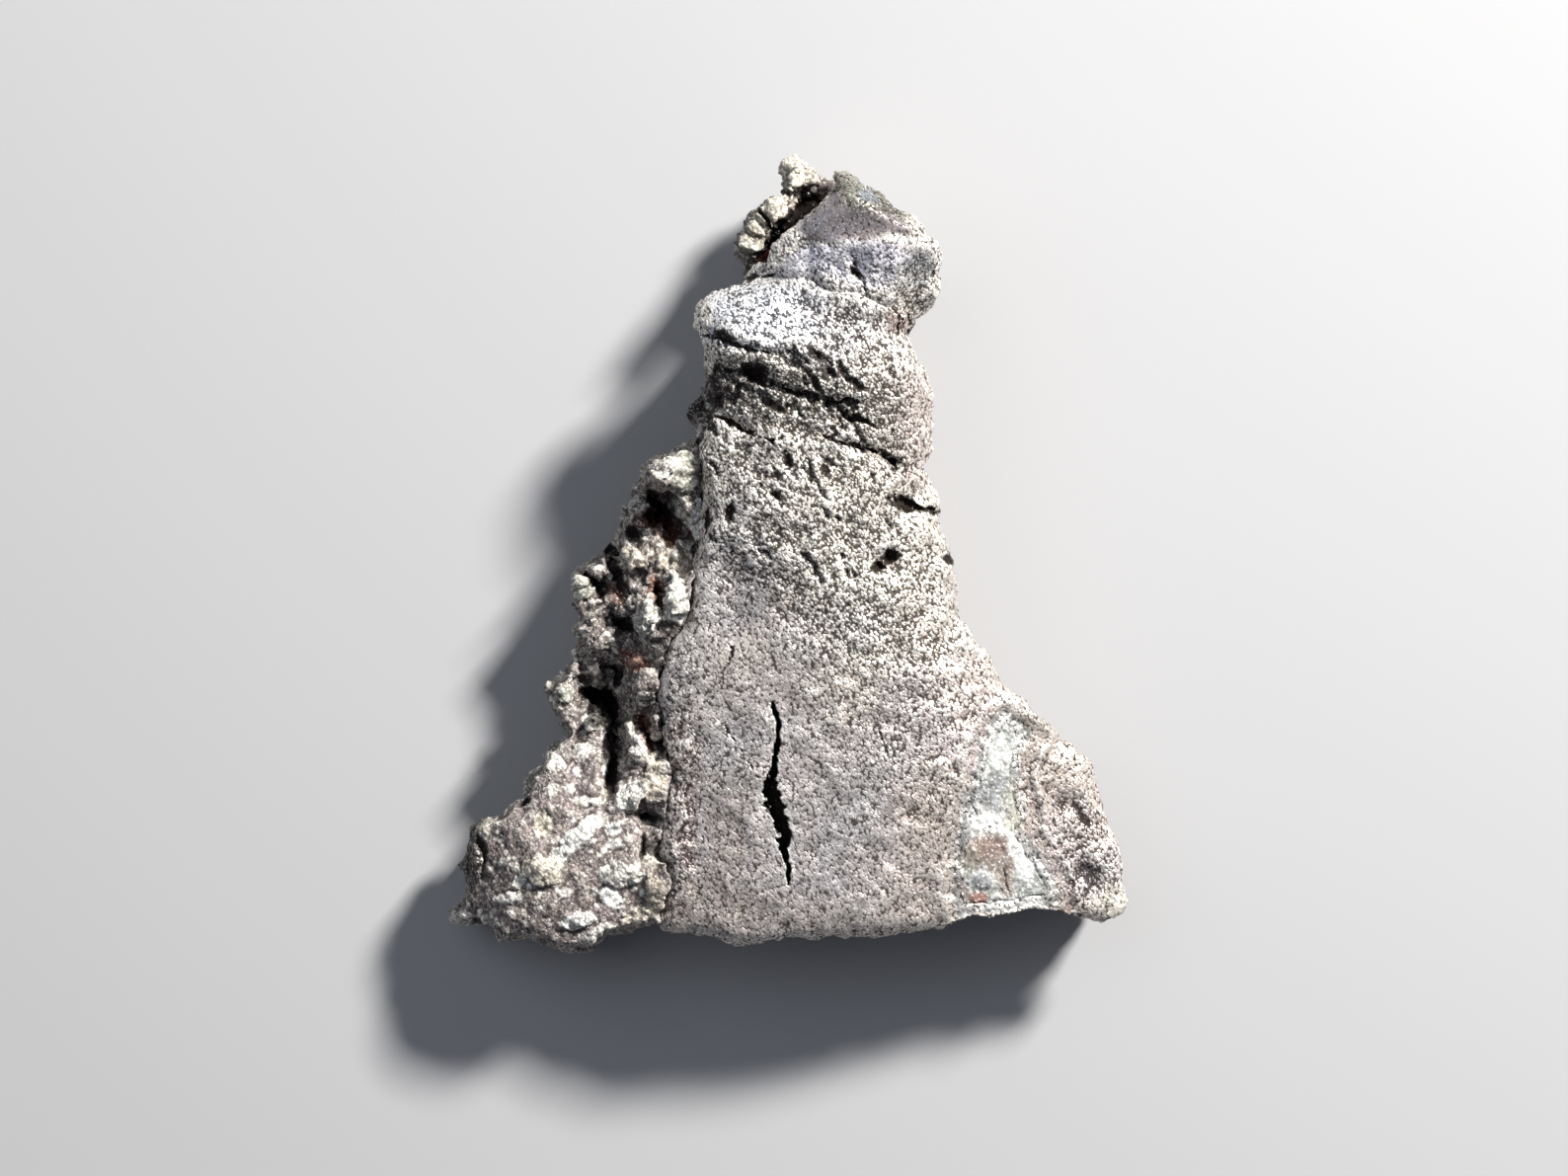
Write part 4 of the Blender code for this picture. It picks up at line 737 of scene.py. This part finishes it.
def make_rock(material):
    skin = Skin("host_rock", rock_spacing)
    skin.ease(ROCK_EASING)
    points = skin.points.copy()
    over_head, silver_edge = silver_near(points)
    nearest = np.linalg.norm(silver_edge - points, axis=1)
    hidden = np.where(over_head < 1.2, 1.0, 0.0)
    hidden = relaxed(hidden[:, None], skin.sides, 2)[:, 0]
    resting = eased((1.2 - points[:, 2]) / 1.2)
    free = (1 - eased(hidden)) * (1 - resting)

    calm = over(points, COBBLED_GROUND, 0.2, 0.4) * eased(skin.facing() * 2)
    upright = 1 - eased(skin.facing() * 2)
    strays = np.stack([rough(points, 1.1, salt) for salt in (90, 93, 96)], axis=1)
    far, tag, other, lean = pebbles(points + 0.3 * strays, LUMP_SIZE, 70)
    lump = (0.5 * (1 - 1.5 * far) * (0.4 + tag) * (1 - 0.7 * upright) + 1.5 * lean) * (1 - 0.85 * calm)
    near, grain, shade, tilt = pebbles(points + 0.22 * strays, PEBBLE_SIZE, 80)
    pale_grain = np.clip((grain - 0.66 + 0.14 * calm) / 0.06, 0, 1) * eased((0.50 - near) / 0.12)
    grains = 0.14 * (1 - 1.7 * near) * (1 - 0.6 * upright) + 0.75 * tilt
    relief = lump + 0.40 * rough(points, 1.9, 8) * (1 - 0.75 * calm) + grains * (1 - 0.55 * calm)
    relief += 0.10 * pale_grain
    mottled = 1 + 0.30 * rough(points, 2.4, 17) + 0.6 * (shade - 0.5)
    tone = np.array(MATRIX) * mottled[:, None]
    tone *= (1 + 0.45 * calm)[:, None]
    tone = blended(tone, TAN, 0.45 * eased(rough(points, 5.5, 27) * 1.4 - 0.1) * (1 - 0.7 * calm))
    block = np.clip((tag - 0.74) / 0.05, 0, 1) * eased((0.40 - far) / 0.06)
    tone = blended(tone, SAGE, 0.6 * block)
    tone = blended(tone, BUTTER, 0.6 * block * (other > 0.55))
    tone = blended(tone, PALE, 0.85 * pale_grain * (0.35 + 0.65 * (shade > 0.4)))
    up = eased(skin.facing() * 1.6)
    uneven = rough(points, 1.1, 47)
    clean = np.clip(0.95 + 0.5 * rough(points, 1.4, 49), 0.65 + 0.2 * calm, 1)
    for clast in CLASTS:
        spot = Spot(*clast[:5])
        cover = over(points, spot, CLAST_RAGGED, 0.16) * up
        sharp = clast.rise * (1 - calm)
        face = (0.30 + 0.5 * sharp) * tilt + (0.10 + 0.22 * sharp) * uneven + 0.8 * sharp * lean
        relief += cover * (clast.rise * (0.45 - 0.25 * calm) - 0.5 * lump + face)
        tone = blended(tone, clast.colour, cover * clean)
        wider = spot._replace(long=spot.long + RING_WIDTH, wide=spot.wide + RING_WIDTH)
        ring = over(points, wider, CLAST_RAGGED, 0.2) * up - cover
        relief -= RING_DEPTH * np.clip(ring, 0, 1)
    sunk = np.zeros(len(points))
    for hollow in HOLLOWS:
        sunk = np.maximum(sunk, hollow.amount * over(points, hollow, 0.35, 0.7) * up)
    skin.raise_by(relief * free)
    seam = eased((1.9 - nearest) / 1.5) * eased((over_head - 5) / 5) * up * (points[:, 1] < 14)
    bedded = eased((1.4 - nearest) / 0.9) * (1 - seam) * (points[:, 2] > 4)
    joined = seam * np.clip(0.85 + 1.1 * rough(points, 2.2, 37), 0, 1)
    towards = silver_edge - skin.points
    reach = 1 + SEAM_OVERLAP / np.maximum(np.linalg.norm(towards, axis=1), 0.2)
    skin.points[:, :2] += (joined * reach)[:, None] * towards[:, :2]
    skin.points[:, 2] += SEAM_RISE * joined + BED_RISE * bedded
    for cleft in ROCK_CLEFTS:
        sunk = np.maximum(sunk, cut_by(points, cleft) * up)
    skin.points[:, 2] -= sunk * free
    skin.points[:, 2] = np.maximum(skin.points[:, 2], np.minimum(skin.start[:, 2], 0.0))

    tone *= (1 + 0.14 * rough(points, 0.7, 29))[:, None]
    pocket = np.clip(skin.hollow(FINE_RELIEF) / 0.16, -1, 1.5)
    pocket += np.clip(skin.hollow(BROAD_RELIEF) / 0.5, -0.6, 1.6)
    # painted shade and dirt: the rock's pockets and hollows are darkened
    dirt = np.clip(0.8 * np.clip(pocket - 0.15, 0, 1) + sunk / 0.9, 0, 1)
    tone = blended(tone, WORN_ROCK, 0.3 * np.clip(-pocket - 0.3, 0, 1))
    # painted shade: the rock's hollows and clefts are drawn near-black
    tone = blended(tone, GAP_AND_SHADOW_BLACK, 0.92 * np.clip(sunk / 0.7, 0, 1))
    tone = tinted(tone, points, RUST_AND_SHADOW)
    coarse = np.clip(1 - dirt, 0, 1)
    return skin.piece("host_rock_mass", "host_rock", "rock", material, tone, dirt=dirt, coarse=coarse)


# --- The calcite ---
CALCITE_SIDE, CALCITE_HIDDEN_SIDE = 0.26, 0.9  # longest side of a face, on its top and out of sight
CALCITE_CRYSTAL = 0.7
CALCITE_SINK = 0.7  # its rim dips into the silver by this much
CALCITE_COARSE = 0.6  # how strongly its finest grains show
CALCITE_LUMPS = (Spot(24.5, -41.0, 1.2, 1.1, amount=0.35), Spot(24.1, -43.2, 0.9, 0.7, amount=0.2))
CALCITE_WHITE = (0.43, 0.43, 0.42)
CALCITE_GAPS = (0.13, 0.11, 0.09)
CALCITE_STAINS = all_of(Stain, (
    (28.4, -22.6, 3.2, 2.0, 60, (0.31, 0.33, 0.32), 0.7),
    (26.6, -24.6, 2.4, 1.0, 70, (0.56, 0.58, 0.56), 0.7),
    (25.6, -29.4, 2.6, 2.4, 90, (0.21, 0.225, 0.235), 0.8),
    (25.0, -26.6, 1.6, 1.0, 60, (0.46, 0.48, 0.46), 0.6),
    (28.0, -30.4, 2.0, 1.0, 80, (0.29, 0.285, 0.24), 0.7),
    (26.0, -33.8, 3.0, 1.1, -10, (0.80, 0.80, 0.78), 0.95),
    (28.6, -33.6, 1.6, 1.2, 80, (0.34, 0.33, 0.26), 0.8),
    (25.2, -36.9, 2.8, 1.9, 25, (0.26, 0.155, 0.125), 0.8),
    (26.8, -39.3, 1.8, 1.6, 0, (0.25, 0.19, 0.16), 0.7),
    (23.0, -38.4, 1.6, 1.8, 0, (0.24, 0.22, 0.185), 0.75),
    (24.5, -41.0, 1.3, 1.3, 0, (0.28, 0.29, 0.31), 0.85),
    (27.6, -41.6, 0.8, 2.4, 0, (0.24, 0.185, 0.155), 0.7),
    (24.1, -43.2, 1.1, 0.8, 20, (0.22, 0.09, 0.065), 0.85),
    (31.2, -41.4, 1.9, 2.2, 20, (0.27, 0.29, 0.28), 0.8),
    (29.5, -38.6, 1.0, 3.0, 28, (0.74, 0.75, 0.74), 0.9),
    (32.4, -39.6, 2.6, 0.5, -56, (0.76, 0.77, 0.77), 0.8),
    (32.6, -42.8, 1.4, 0.8, 0, (0.25, 0.25, 0.23), 0.6),
    (22.0, -42.4, 0.8, 1.6, 15, (0.10, 0.06, 0.06), 0.7),
    (28.6, -44.4, 3.6, 1.0, 6, (0.80, 0.81, 0.79), 0.9),
    (23.4, -45.2, 1.8, 0.7, 10, (0.62, 0.62, 0.62), 0.7),
))
CALCITE_CLEFTS = (
    Cleft(((27.1, -39.6, 0.15), (27.3, -41.0, 0.3), (27.8, -42.4, 0.15)), 0.4),
    Cleft(((22.2, -40.8, 0.15), (22.7, -41.8, 0.3), (23.2, -42.6, 0.15)), 0.4),
)


def calcite_spacing(_, normals):
    """The longest side wanted at each place of the calcite."""
    return np.where(normals[:, 2] > -0.2, CALCITE_SIDE, CALCITE_HIDDEN_SIDE)


def make_calcite(material):
    skin = Skin("calcite_patch", calcite_spacing)
    skin.ease(CALCITE_EASING)
    points = skin.points.copy()
    up = eased(skin.facing() * 1.5)
    _, tag, _, lean = pebbles(points, CALCITE_CRYSTAL, 57)
    relief = 0.16 * rough(points, 1.8, 51) + 0.10 * rough(points, 0.7, 53) + 0.10 * (tag - 0.5) + 0.2 * lean
    big, small = CALCITE_LUMPS
    relief += big.amount * over(points, big, 0.1, 0.9) + small.amount * over(points, small, 0.1, 0.8)
    skin.raise_by(relief * up)
    skin.points[:, 2] -= CALCITE_SINK * eased((1.1 - calcite_depth(points)) / 0.6) * up
    for cleft in CALCITE_CLEFTS:
        skin.points[:, 2] -= cut_by(points, cleft) * up
    tone = tinted(CALCITE_WHITE, points, CALCITE_STAINS)
    tone *= (1 + 0.25 * rough(points, 1.3, 55) + 0.25 * (tag - 0.5))[:, None]
    # painted shade and dirt in the calcite's small hollows, away from its rim
    dirt = np.clip(skin.hollow(FINE_RELIEF) / 0.1, 0, 1) * 0.45 * eased((calcite_depth(points) - 0.5) / 0.8)
    coarse = np.full(len(points), CALCITE_COARSE)
    return skin.piece("calcite_vein", "calcite_patch", "calcite", material, tone, dirt=dirt, coarse=coarse)


# --- Materials ---
class Wiring:
    """Adds nodes to one material or group."""

    def __init__(self, tree):
        self.tree = tree

    def add(self, kind, **settings):
        node = self.tree.nodes.new(kind)
        for setting, value in settings.items():
            setattr(node, setting, value)
        return node

    def join(self, value, socket):
        """Links another node's output to this input, or sets it to a number or a colour."""
        if isinstance(value, bpy.types.NodeSocket):
            self.tree.links.new(value, socket)
        else:
            socket.default_value = (*value, 1) if isinstance(value, tuple) else value

    def feed(self, node, **values):
        """Sets or links a node's inputs by name, with _ for a space."""
        for name, value in values.items():
            self.join(value, node.inputs[name.replace("_", " ")])
        return node

    def math(self, operation, first, second, clamp=False):
        node = self.add("ShaderNodeMath", operation=operation, use_clamp=clamp)
        self.join(first, node.inputs[0])
        self.join(second, node.inputs[1])
        return node.outputs[0]

    def plus(self, first, second):
        return self.math("ADD", first, second)

    def minus(self, first, second):
        return self.math("SUBTRACT", first, second)

    def times(self, first, second, clamp=False):
        return self.math("MULTIPLY", first, second, clamp)

    def ranged(self, value, from_low, from_high, to_low, to_high):
        node = self.add("ShaderNodeMapRange")
        self.feed(node, Value=value, From_Min=from_low, From_Max=from_high, To_Min=to_low, To_Max=to_high)
        return node.outputs["Result"]

    def mixed(self, share, first, second, blend="MIX"):
        """Mixes two colours."""
        node = self.add("ShaderNodeMix", data_type="RGBA", blend_type=blend)
        for index, value in ((0, share), (6, first), (7, second)):
            self.join(value, node.inputs[index])
        return node.outputs[2]

    def cells(self, place, scale):
        """A random packing of grains: the distance from the middle of each, and its own random numbers."""
        packed = self.feed(self.add("ShaderNodeTexVoronoi", feature="F1"), Vector=place, Scale=scale)
        colour = self.feed(self.add("ShaderNodeSeparateColor"), Color=packed.outputs["Color"])
        return packed.outputs["Distance"], colour

    def field(self, name):
        return self.add("ShaderNodeAttribute", attribute_name=name, attribute_type="GEOMETRY")


GRAIN_STRETCH = 0.72  # across their length the grains are this share of it
GRAIN_DRIFT = 0.0003  # their rows stray by this much, in metres
CRUMBS_PER_GRAIN, CRUMB_RISE = 2.3, 0.35
SPARKLING = (0.85, 0.91)  # the random numbers at which crumbs begin to sparkle, and sparkle fully
GAP_RANGE = (0.54, 0.68)  # a gap opens and is full at these distances from a grain's middle
DIRT_AND_SHADE_OPENS, SMOOTH_CLOSES = 0.44, 0.16  # painted shade and dirt widen the gaps by this much, and smooth ground narrows them
GAP_ROUGHNESS, SPARKLE_GLOSS = 0.9, 0.22


def grain_group():
    """Sand-like grains, drawn out along the streaks: their height, the distance from the middle of each, its
    own shade, and the few that sparkle."""
    tree = bpy.data.node_groups.new("sandy grain", "ShaderNodeTree")
    size = tree.interface.new_socket("Grains per mm", in_out="INPUT", socket_type="NodeSocketFloat")
    size.default_value = 2.0
    for name in ("Height", "Distance", "Shade", "Sparkle"):
        tree.interface.new_socket(name, in_out="OUTPUT", socket_type="NodeSocketFloat")
    wires = Wiring(tree)
    given, made = wires.add("NodeGroupInput"), wires.add("NodeGroupOutput")
    place = wires.add("ShaderNodeTexCoord").outputs["Object"]
    turned = wires.add("ShaderNodeCombineXYZ")
    rows = (GRAIN_STRETCH * ALONG_STREAKS, ACROSS_STREAKS, (0, 0, 1))
    for row, socket in zip(rows, turned.inputs):
        along = wires.add("ShaderNodeVectorMath", operation="DOT_PRODUCT")
        wires.join(place, along.inputs[0])
        along.inputs[1].default_value = row
        wires.join(along.outputs["Value"], socket)
    place = turned.outputs[0]
    scale = wires.times(given.outputs[0], 1 / MM)
    drift = wires.feed(wires.add("ShaderNodeTexNoise"), Vector=place, Scale=scale, Detail=2.0)
    shift = wires.add("ShaderNodeVectorMath", operation="MULTIPLY_ADD")
    wires.join(drift.outputs["Color"], shift.inputs[0])
    shift.inputs[1].default_value = (GRAIN_DRIFT,) * 3
    wires.join(place, shift.inputs[2])
    distance, shade = wires.cells(shift.outputs[0], scale)
    fine = wires.times(scale, CRUMBS_PER_GRAIN)
    crumb_distance, crumb_shade = wires.cells(shift.outputs[0], fine)
    dome = wires.minus(1.0, distance)
    small = wires.times(wires.minus(1.0, crumb_distance), CRUMB_RISE)
    sparkle = wires.ranged(crumb_shade.outputs[1], *SPARKLING, 0.0, 1.0)
    height = wires.plus(dome, small)
    wires.feed(made, Height=height, Distance=distance, Shade=shade.outputs[0], Sparkle=sparkle)
    return tree


def skin_material(
    name, grain, *, grains_per_mm, gap_colour, gap_strength, shade_range, bump, roughness, metallic,
    sparkle_colour
):
    """A finish whose colour, painted shade and dirt come from the piece's points, with grains over it. bump is
    in mm.
    """
    material = bpy.data.materials.new(name)
    material.use_nodes = True
    wires = Wiring(material.node_tree)
    shader = material.node_tree.nodes["Principled BSDF"]
    tone = wires.field("tone").outputs["Color"]
    dirt = wires.field("dirt").outputs["Fac"]
    coarse = wires.field("coarse").outputs["Fac"]
    sand = wires.add("ShaderNodeGroup")
    sand.node_tree = grain
    sand.inputs[0].default_value = grains_per_mm
    low, high = shade_range
    spread = wires.ranged(sand.outputs["Shade"], 0.0, 1.0, low, high)
    worn = wires.ranged(coarse, 0.0, 1.0, 0.2, 1.0)
    light = wires.plus(1.0, wires.times(wires.minus(spread, 1.0), worn))
    lit = wires.add("ShaderNodeCombineColor")
    for socket in lit.inputs:
        wires.join(light, socket)
    grained = wires.mixed(1.0, tone, lit.outputs[0], "MULTIPLY")
    # painted shade and dirt widen the dark gaps between grains
    opened = wires.plus(sand.outputs["Distance"], wires.times(dirt, DIRT_AND_SHADE_OPENS))
    closed = wires.times(wires.minus(1.0, worn), SMOOTH_CLOSES)
    gaps = wires.ranged(wires.minus(opened, closed), *GAP_RANGE, 0.0, 1.0)
    clear = wires.times(wires.minus(1.0, gaps), worn)
    sparkle = wires.times(sand.outputs["Sparkle"], wires.times(clear, 1.5), clamp=True)
    # painted glints: sparkling crumbs are drawn towards a pale colour, and made glossier below
    bright = wires.mixed(wires.times(sparkle, 0.75), grained, sparkle_colour)
    # painted shade and dirt: the colour is drawn towards the gap colour
    shaded_and_soiled = wires.mixed(wires.times(dirt, 0.25), bright, gap_colour)
    gapped = wires.mixed(wires.times(gaps, gap_strength), shaded_and_soiled, gap_colour)
    wires.join(gapped, shader.inputs["Base Color"])
    matt = wires.plus(wires.times(gaps, GAP_ROUGHNESS - roughness), roughness)
    wires.join(wires.minus(matt, wires.times(sparkle, SPARKLE_GLOSS)), shader.inputs["Roughness"])
    if metallic:
        wires.join(wires.times(wires.minus(1.0, gaps), metallic), shader.inputs["Metallic"])
    shader.inputs["Specular IOR Level"].default_value = 0.2
    relief = wires.add("ShaderNodeBump")
    height = wires.times(sand.outputs["Height"], worn)
    wires.feed(relief, Strength=1.0, Distance=bump * MM, Height=height)
    wires.join(relief.outputs["Normal"], shader.inputs["Normal"])
    return material


# --- Stage ---
def plain_finish(name, colour):
    material = bpy.data.materials.new(name)
    material.use_nodes = True
    shader = material.node_tree.nodes["Principled BSDF"]
    shader.inputs["Base Color"].default_value = (*colour, 1)
    shader.inputs["Roughness"].default_value = 0.9
    return material


def lay_floor():
    data = bpy.data.meshes.new("floor")
    half = 1.5
    corners = [(-half, -half, 0), (half, -half, 0), (half, half, 0), (-half, half, 0)]
    data.from_pydata(corners, [], [(0, 1, 2, 3)])
    data.materials.append(plain_finish("pale floor", (0.42, 0.42, 0.43)))
    placed("floor", data)


AIM = Vector((-0.0005, -0.0041, 0.016))  # the middle of the picture, at the height of the silver's face
PICTURE_WIDTH = 0.1985  # what the camera takes in at that height, in metres


def place_camera():
    data = bpy.data.cameras.new("camera")
    data.lens = 180
    data.sensor_width = 36
    data.clip_end = 10
    camera = placed("camera", data)
    camera.location = AIM + Vector((0, 0, PICTURE_WIDTH * data.lens / data.sensor_width))
    bpy.context.scene.camera = camera


def shine(name, *, azimuth, elevation, distance, size, power, colour):
    """A square soft light that faces the specimen."""
    data = bpy.data.lights.new(name, "AREA")
    data.size = size
    data.energy = power
    data.color = colour
    lamp = placed(name, data)
    turn, lift = math.radians(azimuth), math.radians(elevation)
    away = Vector((math.cos(turn) * math.cos(lift), math.sin(turn) * math.cos(lift), math.sin(lift)))
    lamp.location = AIM + away * distance
    lamp.rotation_euler = away.to_track_quat("Z", "Y").to_euler()


def light_studio():
    shine("key", azimuth=48, elevation=36, distance=0.9, size=0.14, power=21, colour=(1.0, 0.98, 0.94))
    shine("fill", azimuth=150, elevation=60, distance=1.2, size=0.9, power=3.0, colour=(0.86, 0.92, 1.0))
    world = bpy.data.worlds.new("studio")
    world.use_nodes = True
    sky = world.node_tree.nodes["Background"]
    sky.inputs["Color"].default_value = (0.75, 0.82, 1.0, 1)
    sky.inputs["Strength"].default_value = 0.12
    bpy.context.scene.world = world
    bpy.context.scene.view_settings.view_transform = "Standard"


sand = grain_group()
silver_finish = skin_material(
    "grainy silver", sand, grains_per_mm=3.2, gap_colour=GAP_AND_SHADE_BROWN, gap_strength=0.9, shade_range=(0.5, 1.65),
    bump=0.10, roughness=0.46, metallic=0.5, sparkle_colour=(0.95, 0.93, 0.88)
)
rock_finish = skin_material(
    "pebbly rock", sand, grains_per_mm=2.9, gap_colour=GAP_AND_SHADOW_BLACK, gap_strength=0.55, shade_range=(0.65, 1.35),
    bump=0.08, roughness=0.72, metallic=0.0, sparkle_colour=(0.80, 0.78, 0.72)
)
calcite_finish = skin_material(
    "calcite", sand, grains_per_mm=2.9, gap_colour=CALCITE_GAPS, gap_strength=0.5, shade_range=(0.75, 1.3),
    bump=0.07, roughness=0.42, metallic=0.0, sparkle_colour=(0.90, 0.90, 0.88)
)
make_silver(silver_finish)
make_rock(rock_finish)
make_calcite(calcite_finish)
lay_floor()
place_camera()
light_studio()
